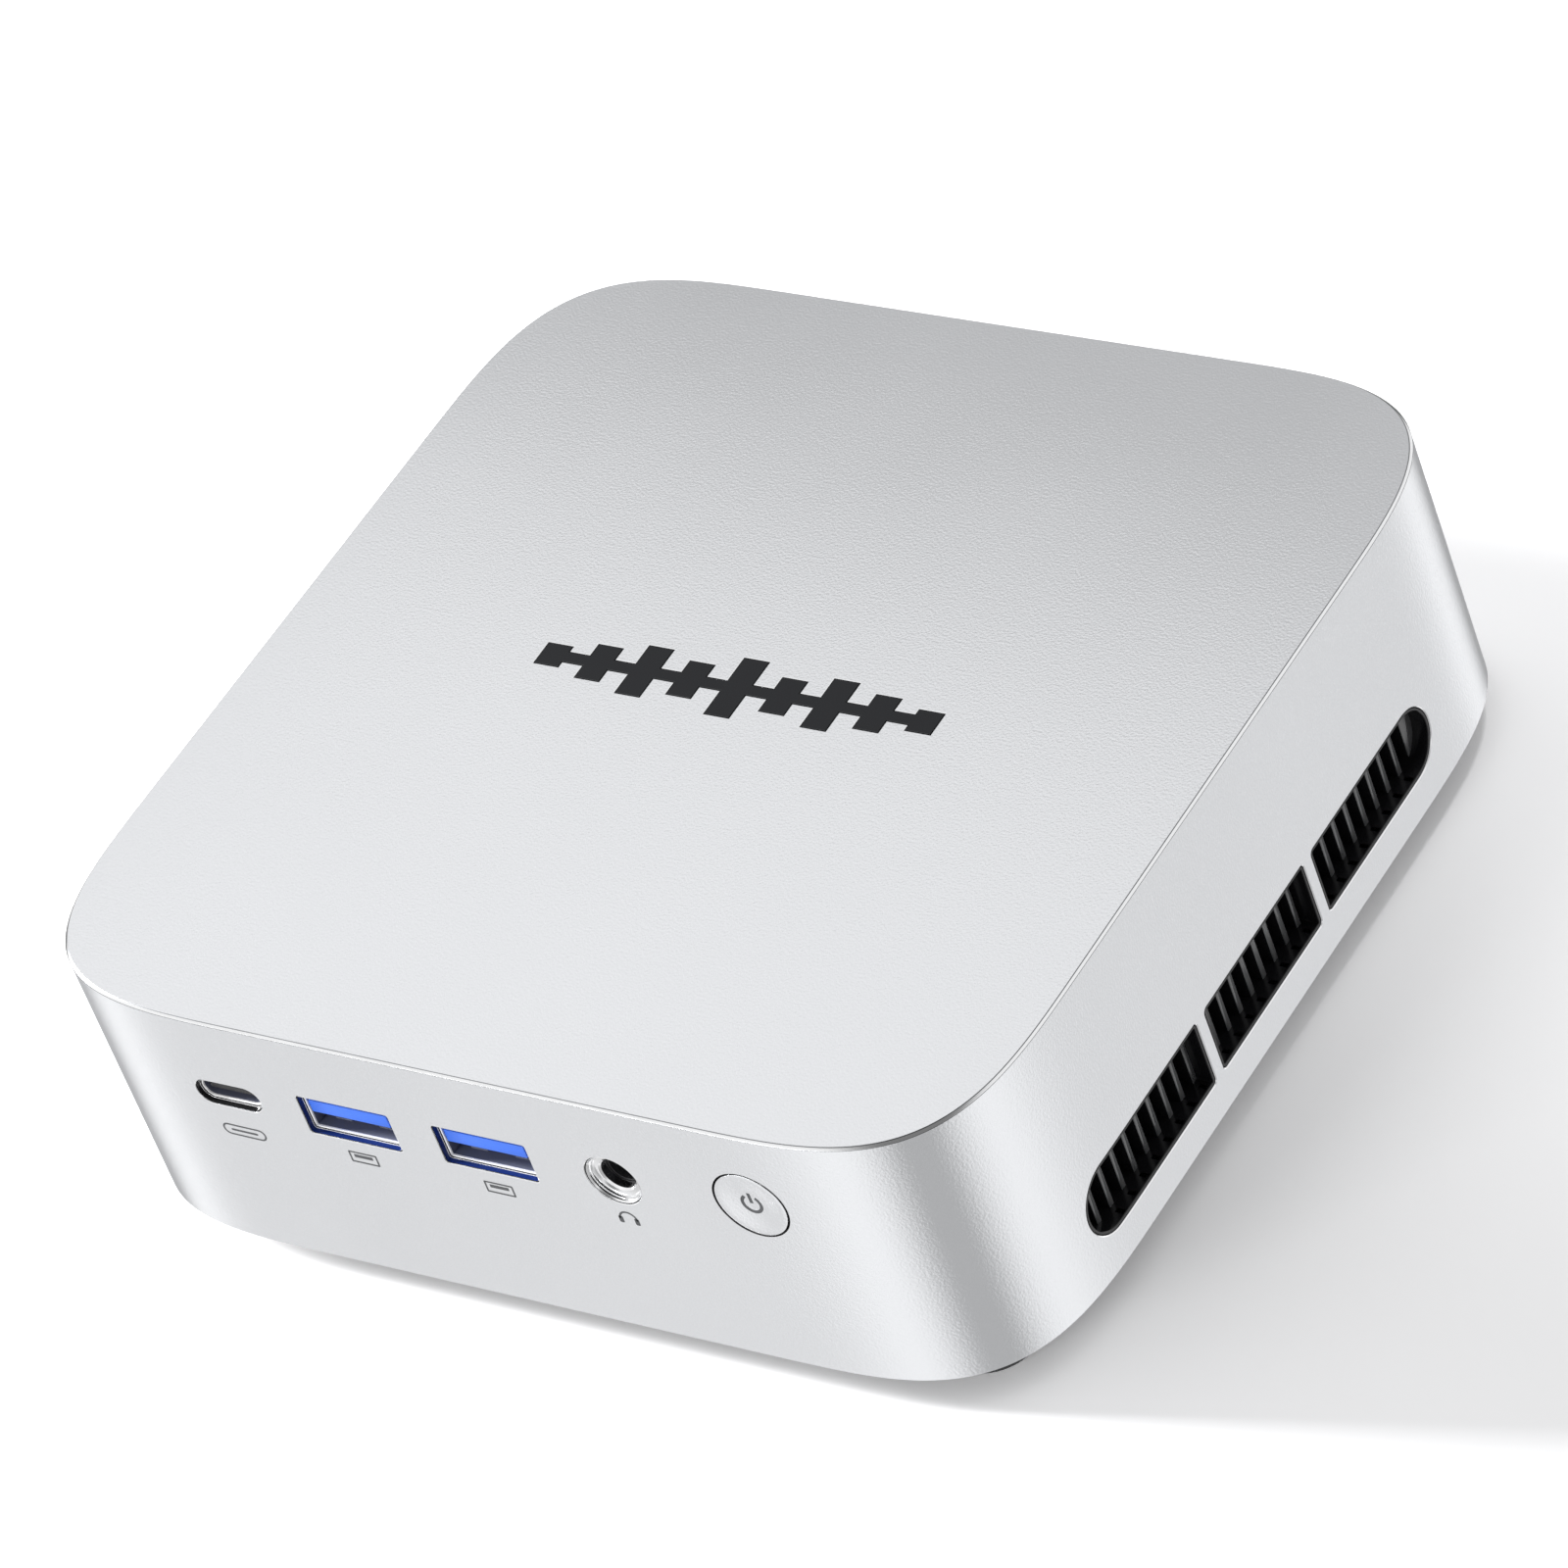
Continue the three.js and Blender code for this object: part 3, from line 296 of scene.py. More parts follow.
class Nodes:
    """A material's node tree, with short calls for what the finishes share."""

    def __init__(self, name):
        self.material = bpy.data.materials.new(name)
        self.material.use_nodes = True
        self.tree = self.material.node_tree
        self.shader = self.tree.nodes["Principled BSDF"]
        self.coordinates = self.add("ShaderNodeTexCoord").outputs["Object"]

    def add(self, kind, inputs=None, **settings):
        return add_node(self.tree, kind, inputs, **settings)

    def noise(self, size, detail=2, stretch=(1, 1, 1)):
        """Noise whose marks are about size millimetres across, longer along a stretched axis."""
        scale = [1 / (size * MM * axis) for axis in stretch]
        moved = self.add("ShaderNodeMapping", {"Vector": self.coordinates, "Scale": scale})
        made = self.add("ShaderNodeTexNoise", {"Vector": moved.outputs[0], "Scale": 1.0, "Detail": detail})
        return made.outputs["Fac"]

    def spread(self, source, low, high):
        """Noise brought to the range from low to high."""
        ends = {"Value": source, "From Min": 0.3, "From Max": 0.7, "To Min": low, "To Max": high}
        return self.add("ShaderNodeMapRange", ends).outputs[0]

    def blend(self, share, first, second):
        """A mix of two colours."""
        node = self.add("ShaderNodeMix", data_type="RGBA")
        self.tree.links.new(share, node.inputs["Factor"])
        for key, value in (("A", first), ("B", second)):
            socket = [s for s in node.inputs if s.name == key and s.type == "RGBA"][0]
            if isinstance(value, bpy.types.NodeSocket):
                self.tree.links.new(value, socket)
            else:
                socket.default_value = value
        return [s for s in node.outputs if s.type == "RGBA"][0]

    def link(self, source, name):
        self.tree.links.new(source, self.shader.inputs[name])

    def bump(self, height, depth):
        """A bump depth millimetres deep."""
        return self.add("ShaderNodeBump", {"Height": height, "Distance": depth * MM}).outputs[0]


def shade(color, factor):
    return (*(min(1.0, part * factor) for part in color), 1.0)


def surface(
    name, color, roughness, metallic=0.0, mottle=0.06, grain=0.25, depth=0.01, settle=0.05, specular=0.5
):
    """A surface with a fine grain, slow patches of lighter and darker colour, and uneven gloss.

    grain is the grain's size and depth its height. settle is how far the roughness wanders.
    """
    nodes = Nodes(name)
    shader = nodes.shader
    shader.inputs["Metallic"].default_value = metallic
    shader.inputs["Specular IOR Level"].default_value = specular
    fine = nodes.noise(grain)
    slow = nodes.noise(14, 3)
    nodes.link(nodes.blend(slow, shade(color, 1 - mottle), shade(color, 1 + mottle)), "Base Color")
    nodes.link(nodes.spread(nodes.noise(5, 4), roughness - settle, roughness + settle), "Roughness")
    nodes.link(nodes.bump(fine, depth), "Normal")
    return nodes.material


def anodised(name, color, roughness):
    """Bead-blasted anodised aluminium: a matt metal with a fine even grain."""
    nodes = Nodes(name)
    nodes.shader.inputs["Metallic"].default_value = 1.0
    tone = nodes.blend(nodes.noise(0.5, 2), shade(color, 0.985), shade(color, 1.015))
    nodes.link(tone, "Base Color")
    nodes.link(nodes.spread(nodes.noise(30, 2), roughness - 0.01, roughness + 0.01), "Roughness")
    nodes.link(nodes.bump(nodes.noise(0.32, 1), 0.034), "Normal")
    return nodes.material


def circuit(name, board, trace):
    """Solder mask over copper: a lattice of tracks under a satin coat, darker where there is no copper."""
    nodes = Nodes(name)
    nodes.shader.inputs["Coat Weight"].default_value = 0.3
    inputs = {"Vector": nodes.coordinates, "Scale": 420.0, "Mortar Size": 0.03}
    inputs |= {"Color1": (0, 0, 0, 1), "Color2": (0.4, 0.4, 0.4, 1), "Mortar": (1, 1, 1, 1)}
    tracks = nodes.add("ShaderNodeTexBrick", inputs)
    share = tracks.outputs["Color"]
    nodes.link(nodes.blend(share, (*board, 1), (*trace, 1)), "Base Color")
    nodes.link(nodes.spread(nodes.noise(2, 3), 0.32, 0.5), "Roughness")
    nodes.link(nodes.bump(tracks.outputs["Fac"], 0.03), "Normal")
    return nodes.material


def brushed(name, color, roughness, stretch):
    """Metal with long fine scratches along one axis."""
    nodes = Nodes(name)
    nodes.shader.inputs["Metallic"].default_value = 1.0
    lines = nodes.noise(0.08, 2, stretch)
    nodes.link(nodes.blend(nodes.noise(6, 3), shade(color, 0.85), shade(color, 1.05)), "Base Color")
    nodes.link(nodes.spread(lines, roughness - 0.08, roughness + 0.1), "Roughness")
    nodes.link(nodes.bump(lines, 0.006), "Normal")
    return nodes.material


SILVER = anodised("silver_anodised", (0.79, 0.8, 0.82), 0.30)
POLISHED = surface("polished_chamfer", (0.9, 0.905, 0.915), 0.16, 1, mottle=0.02, depth=0.002, settle=0.02)
CHARCOAL = surface("charcoal_inlay", (0.007, 0.0075, 0.009), 0.45, mottle=0.15, depth=0.004, specular=0.15)
GLOSS_BLACK = surface("gloss_black_plastic", (0.008, 0.008, 0.009), 0.2, mottle=0.2, grain=0.5, depth=0.002)
# A lighter black for the vent ribs' front faces and the bars on the sills: painted sheen on the lit faces,
# and painted reflections of the ribs.
BLACK_PAINTED_SHEEN = surface(
    "black_plastic_painted_sheen", (0.085, 0.087, 0.09), 0.3, mottle=0.1, depth=0.003, specular=0.9
)
MATT_BLACK = surface("matt_black_plastic", (0.018, 0.018, 0.02), 0.5, mottle=0.15, grain=0.35, depth=0.02)
RUBBER = surface("rubber", (0.016, 0.016, 0.017), 0.75, mottle=0.2, grain=0.4, depth=0.03)
# Dark metal for two fine lines along the top's polished chamfer: painted shade.
PAINTED_DARK_LINE = surface("painted_dark_line", (0.2, 0.204, 0.212), 0.3, 1, mottle=0.02, depth=0.002, settle=0.02)
CHROME = surface("chrome", (0.92, 0.925, 0.935), 0.12, 1, mottle=0.03, depth=0.002, settle=0.03)
NICKEL = surface("nickel", (0.62, 0.64, 0.67), 0.22, 1, mottle=0.05, depth=0.003)
STEEL = brushed("steel", (0.6, 0.61, 0.63), 0.32, (1, 30, 1))
LIP = surface("polished_lip", (0.95, 0.95, 0.96), 0.25, 0.5, mottle=0.02, depth=0.002, settle=0.02)
# Dark blue-grey steel inside the ports' cans, springs and hollows: painted shade, tinted blue as a painted
# reflection of the blue tongue.
STEEL_PAINTED_SHADE = surface("steel_painted_shade", (0.1, 0.11, 0.16), 0.45, 0.3, mottle=0.15, depth=0.004)
# A navy band in a USB-A port's mouth: a painted reflection of the blue tongue in the can's lip.
NAVY_PAINTED_REFLECTION = surface("navy_painted_reflection", (0.007, 0.022, 0.13), 0.3, mottle=0.2, depth=0.003, specular=0.3)
BLUE = surface("blue_plastic", (0.035, 0.15, 0.74), 0.42, mottle=0.05, grain=0.3, depth=0.004)
GOLD = surface("gold", (0.86, 0.62, 0.26), 0.2, 1, mottle=0.06, depth=0.003)
BRASS = surface("brass", (0.68, 0.5, 0.2), 0.3, 1, mottle=0.1, grain=0.3, depth=0.006)
COPPER = brushed("copper", (0.72, 0.38, 0.24), 0.34, (30, 1, 1))
ALUMINIUM = brushed("plain_aluminium", (0.66, 0.67, 0.68), 0.36, (1, 1, 30))
BOARD = circuit("circuit_board", (0.006, 0.03, 0.013), (0.012, 0.06, 0.024))
CHIP = surface("chip", (0.02, 0.021, 0.023), 0.5, mottle=0.15, grain=0.2, depth=0.006)
INK = surface("printed_ink", (0.05, 0.052, 0.056), 0.6, mottle=0.1, grain=0.15, depth=0.003)


# ---------- Case ----------
VENT = {"bottom": 8.9, "top": 18.35, "half_length": 41, "middle_half": 12, "divider": 1.8, "radius": 0.7}
SIDE_VENT_FORWARD = 2.7  # the side vents sit this far in front of the middle
VENTS = [(RIGHT, -SIDE_VENT_FORWARD), (LEFT, SIDE_VENT_FORWARD), (REAR, 0)]
CAN_GAP = 0.1  # between a port's can and its cut-out


def vent_windows(middle):
    """The three windows of a vent."""
    end = VENT["half_length"]
    inner = VENT["middle_half"]
    beside = inner + VENT["divider"]
    height = (VENT["bottom"], VENT["top"])
    radius = VENT["radius"]
    return [
        panel(middle - end, middle - beside, *height, HEIGHT, radius, steps=12),
        panel(middle - inner, middle + inner, *height, radius, steps=12),
        panel(middle + beside, middle + end, *height, radius, HEIGHT, steps=12),
    ]


def can_outline(wall, node, radius, grow=0.0):
    """A port's outline from its CAD can, with rounded corners."""
    (u0, u1), (z0, z1), _ = wall.span(node)
    return panel(u0 - grow, u1 + grow, z0 - grow, z1 + grow, radius)


def hdmi_outline(wall, node, grow=0.0):
    """A rectangle whose lower corners are cut off."""
    (u0, u1), (z0, z1), _ = wall.span(node)
    rise = 0.27 * (z1 - z0)
    run = 1.3 * rise
    corners = [(u1, z0 + rise), (u1, z1), (u0, z1), (u0, z0 + rise), (u0 + run, z0), (u1 - run, z0)]
    return offset([Vector(corner) for corner in corners], grow)


USB_RADIUS = 0.45
AUDIO_RADIUS = 3.66
BUTTON_HOLE = 4.85
DC_HOLE = 3.8
FRONT_USB = ["usb_a_front_left", "usb_a_front_right"]
REAR_USB = ["usb_a_rear_left", "usb_a_rear_right"]
REAR_HDMI = ["hdmi_left", "hdmi_right"]


def shell_openings():
    """(wall, outline, chamfer) of every opening in the shell's walls."""
    fine = 0.06
    found = [(FRONT, can_outline(FRONT, "usb_c_shell", HEIGHT, CAN_GAP), fine)]
    found += [(FRONT, can_outline(FRONT, f"{name}_shell", USB_RADIUS, CAN_GAP), fine) for name in FRONT_USB]
    found.append((FRONT, circle(FRONT.centre("audio_jack_ring"), AUDIO_RADIUS, 64), fine))
    found.append((FRONT, circle(FRONT.centre("power_button"), BUTTON_HOLE, 80), fine / 3))
    found.append((REAR, circle(REAR.centre("power_inlet_pin"), DC_HOLE, 64), EDGE))
    found += [(REAR, hdmi_outline(REAR, f"{name}_shell", -0.1), EDGE) for name in REAR_HDMI]
    found.append((REAR, can_outline(REAR, "ethernet_shell", 0.5, -0.7), EDGE))
    found += [(REAR, can_outline(REAR, f"{name}_shell", USB_RADIUS, CAN_GAP), fine) for name in REAR_USB]
    for wall, middle in VENTS:
        found += [(wall, outline, EDGE) for outline in vent_windows(middle)]
    return found


def badge_outline(grow=0.0):
    """A level line with a row of upright bars across it."""
    length = 55
    stroke = 3.4
    line = 1.6
    heights = [3.4, 5.6, 8, 5.6, 9.4, 5.6, 8, 5.6, 3.4]
    pitch = (length - stroke) / (len(heights) - 1)
    upper = []
    for i, height in enumerate(heights):
        x = i * pitch - (length - stroke) / 2
        bar = [(x - stroke / 2, line / 2), (x - stroke / 2, height / 2), (x + stroke / 2, height / 2)]
        bar.append((x + stroke / 2, line / 2))
        upper += bar[0 if i else 1 : 4 if i < len(heights) - 1 else 3]
    lower = [(-x, -y) for x, y in upper]
    return offset([Vector(point) for point in reversed(upper + lower)], grow)


def outline_part(x, y):
    """(how far out a point is, the outline's normal there): 1 is on the case's outer face."""
    across = max(abs(x) - STRAIGHT, 0) / CORNER
    along = max(abs(y) - STRAIGHT, 0) / CORNER
    reach = (across**SQUARENESS + along**SQUARENESS) ** (1 / SQUARENESS)
    lean_x, lean_y = (share ** (SQUARENESS - 1) for share in (across, along))
    normal = Vector((math.copysign(lean_x, x), math.copysign(lean_y, y), 0))
    return reach, normal.normalized()


def smooth_walls(mesh):
    """Gives the outer faces their exact normals, whatever triangles the openings left."""
    mesh.set_sharp_from_angle(angle=math.radians(CREASE))
    normals = [Vector()] * len(mesh.loops)
    for face in mesh.polygons:
        reach, normal = outline_part(*(face.center.xy / MM))
        upright = reach > 0.998 and face.normal.dot(normal) > 0.99
        for corner in face.loop_indices:
            if upright:
                spot = mesh.vertices[mesh.loops[corner].vertex_index].co.xy / MM
                normals[corner] = outline_part(*spot)[1]
            elif abs(face.normal.z) > 0.999:
                normals[corner] = face.normal.copy()
    mesh.normals_split_custom_set(normals)


def make_shell():
    """The one-piece shell: the top and the four walls, open below."""
    lip = 0.3
    chamfer = 0.36
    profile = [  # (inset, height): inside from the ceiling down, round the lower lip, and up outside
        (WALL, HEIGHT - TOP_THICKNESS),
        (WALL, SHELL_BOTTOM),
        (lip, SHELL_BOTTOM),
        (0, SHELL_BOTTOM + lip),
        (0, HEIGHT - chamfer),
        (0.03, HEIGHT - 0.3),
        (0.26, HEIGHT - 0.07),
        (chamfer, HEIGHT),
    ]
    bands = [0, 0, 0, 0, 2, 1, 2]  # the polished chamfer lies between two fine darker lines of painted shade
    body = Shape().skin([flat(case_outline(inset), z) for inset, z in profile], bands)
    body.faces[-1] = (body.faces[-1][0], 0)  # the top face
    tools = Shape()
    reach = 1.0
    for wall, outline, edge in shell_openings():
        line = densify(outline)
        levels = [(edge + reach, -reach), (0, edge), (0, WALL + reach)]
        tools.skin([wall.ring(offset(line, grow), depth, follow=True) for grow, depth in levels], [1, 0])
    rim = 0.06
    gap = 0.12  # round the badge
    levels = [(gap + rim + 1, HEIGHT + 1), (gap, HEIGHT - rim), (gap, HEIGHT - 0.4)]
    tools.skin([flat(badge_outline(grow), z) for grow, z in levels], [1, 0])
    mesh = cut(body, tools, [SILVER, POLISHED, PAINTED_DARK_LINE])
    smooth_walls(mesh)
    add_piece("shell", mesh, [], replaces=["top_shell"])


def make_badge():
    low, high = (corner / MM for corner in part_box("top_badge"))
    bevel = 0.05
    levels = [(0, low.z), (0, high.z - bevel), (-bevel, high.z)]
    shape = Shape().skin([flat(badge_outline(grow), z) for grow, z in levels])
    add_piece("badge_inlay", shape, [CHARCOAL], replaces=["top_badge"])


# ---------- Vents ----------
RIB = {"pitch": 2.81, "width": 0.85, "front": 2.3, "back": 4.7, "forward": 0.65, "count": 29}


def make_vent(name, wall, middle):
    """The gloss black insert: a collar in each window, low bars on its sill that are painted reflections of
    the ribs, and upright ribs behind with painted sheen on their lighter front faces.
    """
    shape = Shape()
    gap = 0.1
    thickness = 0.36
    front = 0.12
    deep = RIB["back"] + 0.5
    for window in vent_windows(middle):
        line = densify(window)
        inner = -gap - thickness
        section = [(-gap, deep), (-gap, front + 0.08), (-gap - 0.06, front)]
        section += [(inner + 0.06, front), (inner, front + 0.08), (inner, deep)]
        shape.loop([wall.ring(offset(line, grow), depth, follow=True) for grow, depth in section])
    end = VENT["half_length"]
    divider = 13  # the bars between the windows are about this far from the middle
    last = (RIB["count"] - 1) / 2
    low, high = VENT["bottom"], VENT["top"]
    past = 0.3  # the ribs run on behind the wall, above and below
    sill = low + thickness  # the collar's upper face
    for step in range(RIB["count"]):
        i = step - last
        u = middle + math.copysign(RIB["forward"], middle) * bool(middle) + i * RIB["pitch"]
        left = middle - end + 0.2 if i == -last else u - RIB["width"] / 2
        right = middle + end - 0.2 if i == last else u + RIB["width"] / 2
        rib = panel(left, right, low - past, high + past, 0.05, steps=2)
        # The ribs' front faces take the lighter black: painted sheen.
        shape.slab(wall, rib, RIB["front"], RIB["back"], 0.1, 0, 1)
        # Low bars on the sill, each nearly a pitch along from its rib: painted reflections of the ribs.
        rib_reflection_u = u + 0.8 * RIB["pitch"]
        from_middle = abs(rib_reflection_u - middle)
        if from_middle < end - 5 and abs(from_middle - divider) > VENT["divider"]:
            bar = panel(rib_reflection_u - 0.4, rib_reflection_u + 0.4, sill - 0.2, sill + 0.1, 0.08, steps=2)
            shape.slab(wall, bar, 0.35, 1.5, 0.05, 1, 1)
    add_piece(f"{name}_fine", shape, [GLOSS_BLACK, BLACK_PAINTED_SHEEN], replaces=[name])


# ---------- Ports ----------
def can_rings(wall, outline, front, back, mouth):
    """Rings of a port's can: its outside, its lip, and down its inside to a wall at the back.

    mouth is a list of (inset, depth behind the front) of the lip's steps.
    """
    rings = [wall.ring(outline, back), wall.ring(outline, front + 0.05)]
    rings += [wall.ring(offset(outline, -inset), front + depth) for inset, depth in mouth]
    deepest = mouth[-1][0]
    rings.append(wall.ring(offset(outline, -deepest), back - 0.4))
    return rings


# In a port's mouth the band is a painted reflection of the tongue in navy and painted shade in black, the
# black line is painted shade in a gap, and the dark inside is painted shade.
MOUTH = [(0.03, 0.0), (0.1, 0.56), (0.11, 0.64), (0.12, 0.95), (0.15, 0.78), (0.28, 0.7), (0.42, 0.74)]
MOUTH += [(0.5, 0.9)]
MOUTH_FINISHES = [0, 0, 1, 4, 2, 4, 4, 4, 4, 3]  # outside, edge, band, line, groove, the bead, inside


def make_usb_a(wall, name):
    """A USB-A port: its can with flared lips, two springs, and the blue tongue with its contacts."""
    node = f"{name}_shell"
    (u0, u1), (z0, z1), (front, back) = wall.span(node)
    outline = can_outline(wall, node, USB_RADIUS)
    # In the can's mouth the navy band is a painted reflection of the tongue, the black line is painted shade
    # in a gap, and the dark steel inside and on the springs is painted shade.
    shape = Shape().skin(can_rings(wall, outline, front, back, MOUTH), MOUTH_FINISHES)
    for side in (-0.24, 0.24):
        u = (u0 + u1) / 2 + side * (u1 - u0)
        shape.slab(wall, pane((u, z0 + 0.62), 2.4, 0.3, 0.14, 3), front + 2.2, back - 3, 0.1, 3)
    add_piece(f"{name}_can", shape, [CHROME, NAVY_PAINTED_REFLECTION, MATT_BLACK, STEEL_PAINTED_SHADE, LIP], replaces=[node])
    make_usb_a_tongue(wall, name)


def make_usb_a_tongue(wall, name):
    node = f"{name}_tongue"
    (u0, u1), (z0, z1), (front, back) = wall.span(node)
    middle = (u0 + u1) / 2
    reach = 5.5
    low = (z0 + z1) / 2 + 0.05
    thickness = 1.84
    blade = pane((middle, low + thickness / 2), 2 * reach, thickness, 0.12, 3)
    shape = Shape().slab(wall, blade, front, back, 0.1)
    shape.slab(wall, panel(u0, u1, z0, z1, 0.2), back - 3, back)
    for i in range(4):
        u = middle + (i - 1.5) * 2.4
        shape.slab(wall, pane((u, low - 0.04), 1.1, 0.12, 0.03, 1), front + 1.2, back - 3, 0.03, 1)
    add_piece(f"{name}_insert", shape, [BLUE, GOLD], replaces=[node])


def make_usb_c(wall, name):
    """The USB-C port: a stadium-shaped can and a thin tongue with contacts on both faces."""
    node = f"{name}_shell"
    (u0, u1), (z0, z1), (front, back) = wall.span(node)
    outline = panel(u0, u1, z0, z1, HEIGHT, steps=12)
    # In the can's mouth the gloss black band and the matt black line are painted shade, and the dark steel
    # inside is painted shade.
    shape = Shape().skin(can_rings(wall, outline, front - 0.1, back, MOUTH), MOUTH_FINISHES)
    finishes = [CHROME, GLOSS_BLACK, MATT_BLACK, STEEL_PAINTED_SHADE, LIP]
    add_piece(f"{name}_can", shape, finishes, replaces=[node])
    node = f"{name}_tongue"
    (u0, u1), (z0, z1), (front, back) = wall.span(node)
    middle = ((u0 + u1) / 2, (z0 + z1) / 2)
    shape = Shape().slab(wall, pane(middle, 6.7, 0.7, 0.3, 4), front, back, 0.1)
    shape.slab(wall, panel(u0, u1, z0, z1, HEIGHT, steps=12), back - 2, back)
    for face in (-1, 1):
        for i in range(12):
            spot = (middle[0] + (i - 5.5) * 0.5, middle[1] + face * 0.36)
            shape.slab(wall, pane(spot, 0.26, 0.06, 0.01, 1), front + 0.6, back - 2, 0, 1)
    add_piece(f"{name}_insert", shape, [MATT_BLACK, GOLD], replaces=[node])


def make_audio_jack():
    """The headphone jack: a stepped metal nose round a dark bore."""
    centre = FRONT.centre("audio_jack_ring")
    _, _, (front, back) = FRONT.span("audio_jack_ring")
    outer = AUDIO_RADIUS - 0.1
    profile = [  # (radius, depth): outside, the stepped tunnel, the flat ring and the bore
        (outer, back),
        (outer, 0.18),
        (outer - 0.06, 0.12),
        (outer - 0.22, 0.30),
        (outer - 0.24, 0.52),
        (outer - 0.40, 0.56),
        (outer - 0.44, 0.86),
        (outer - 0.58, 0.96),
        (2.45, front),
        (2.2, front + 0.2),
        (2.15, back),
    ]
    shape = Shape().loop(wall_rings(FRONT, profile, centre, 64))
    add_piece("audio_nose", shape, [CHROME], replaces=["audio_jack_ring"])
    (u0, u1), (z0, z1), (front, back) = FRONT.span("audio_jack_body")
    block = Shape().slab(FRONT, panel(u0, u1, z0, z1, 0.3), front, back, 0.2)
    wide = 1.88
    narrow = 1.75  # between two contacts
    bore = [(wide, front - 1), (wide, front + 2), (narrow, front + 2.2), (narrow, front + 4)]
    bore += [(wide, front + 4.2), (wide, back - 0.7)]
    mesh = cut(block, Shape().skin(wall_rings(FRONT, bore, centre)), [MATT_BLACK])
    add_piece("audio_barrel", mesh, [], replaces=["audio_jack_body"])


def make_hdmi(name):
    """An HDMI port: its can, and the tongue with contacts."""
    node = f"{name}_shell"
    (u0, u1), (z0, z1), (front, back) = REAR.span(node)
    mouth = [(0.06, 0.0), (0.3, 0.2), (0.35, 0.5)]
    # The can's inside in dark steel is painted shade.
    shape = Shape().skin(can_rings(REAR, hdmi_outline(REAR, node), front, back, mouth), [0, 0, 0, 0, 1])
    add_piece(f"{name}_can", shape, [CHROME, STEEL_PAINTED_SHADE], replaces=[node])
    node = f"{name}_tongue"
    _, _, (front, back) = REAR.span(node)
    middle = (u0 + u1) / 2
    low = (z0 + z1) / 2 - 0.2
    tongue = panel(middle - 5.9, middle + 5.9, low, low + 1.2, 0.15, steps=3)
    shape = Shape().slab(REAR, tongue, front, back, 0.12)
    shape.slab(REAR, hdmi_outline(REAR, node), back - 2.5, back)
    for i in range(10):
        spot = (middle + (i - 4.5) * 1.0, low - 0.03)
        shape.slab(REAR, pane(spot, 0.4, 0.08, 0.01, 1), front + 0.7, back - 2.5, 0, 1)
    add_piece(f"{name}_insert", shape, [MATT_BLACK, GOLD], replaces=[node])


def make_ethernet():
    """The network socket: a metal box round a stepped hollow, with eight sprung contacts."""
    (u0, u1), (z0, z1), (front, back) = REAR.span("ethernet_shell")
    middle = (u0 + u1) / 2
    centre = (z0 + z1) / 2
    body = Shape().slab(REAR, panel(u0, u1, z0, z1, 0.4), front, back, 0.1)
    wide = 6  # half widths of the hollow and of the latch's slot below it
    narrow = 3.3
    hollow = [(-wide, -3.3), (-narrow, -3.3), (-narrow, -5.1), (narrow, -5.1)]
    hollow += [(narrow, -3.3), (wide, -3.3), (wide, 4.9), (-wide, 4.9)]
    mouth = [Vector((middle + u, centre + z)) for u, z in hollow]
    levels = [(1.25, front - 1), (0, front + 0.25), (0, back - 1)]
    tool = Shape().skin([REAR.ring(offset(mouth, grow), depth) for grow, depth in levels], 1)
    # The hollow's walls in dark steel are painted shade.
    mesh = cut(body, tool, [NICKEL, STEEL_PAINTED_SHADE])
    add_piece("ethernet_can", mesh, [], replaces=["ethernet_shell"])
    (u0, u1), (z0, z1), (front, back) = REAR.span("ethernet_contacts")
    shape = Shape().slab(REAR, panel(u0, u1, z0, z1, 0.1), back - 2, back)
    square = [(-0.18, -0.15), (0.18, -0.15), (0.18, 0.15), (-0.18, 0.15)]
    for i in range(8):
        u = middle + (i - 3.5) * 1.02
        spring = [(0, z1 - 0.15), (0.4, z1 - 0.25), (6, z1 - 1.6), (back - front - 2.2, z1 - 3.6)]
        shape.skin([REAR.ring([(u + a, z + b) for a, b in square], front + depth) for depth, z in spring], 1)
    add_piece("ethernet_springs", shape, [MATT_BLACK, GOLD], replaces=["ethernet_contacts"])


def make_power_inlet():
    """The DC inlet: a black socket with a sprung sleeve, round a brass pin with a rounded tip."""
    centre = REAR.centre("power_inlet_pin")
    (u0, u1), (z0, z1), (front, back) = REAR.span("power_inlet_body")
    body = Shape().slab(REAR, panel(u0, u1, z0, z1, 0.4), front, back, 0.2)
    bore = [(4.3, front - 1), (3.2, front + 0.3), (3.2, back - 2), (1.35, back - 1.99), (1.35, back + 1)]
    mesh = cut(body, Shape().skin(wall_rings(REAR, bore, centre)), [MATT_BLACK])
    add_piece("dc_socket", mesh, [], replaces=["power_inlet_body"])
    _, _, (front, back) = REAR.span("power_inlet_pin")
    pin = [(0, front), (0.5, front + 0.08), (0.9, front + 0.3), (1.15, front + 0.75)]
    pin += [(1.2, front + 1.1), (1.2, back)]
    shape = Shape().skin(wall_rings(REAR, pin, centre))
    add_piece("dc_pin", shape, [BRASS], replaces=["power_inlet_pin"])


# ---------- Power button ----------
DISH = {"radius": 4.15, "depth": 0.28}  # the hollow in the button's face


def button_face(radius):
    """Depth of the button's face below its rim at a radius from its middle."""
    share = min(radius / DISH["radius"], 1)
    return DISH["depth"] * (1 - share**2) ** 1.3


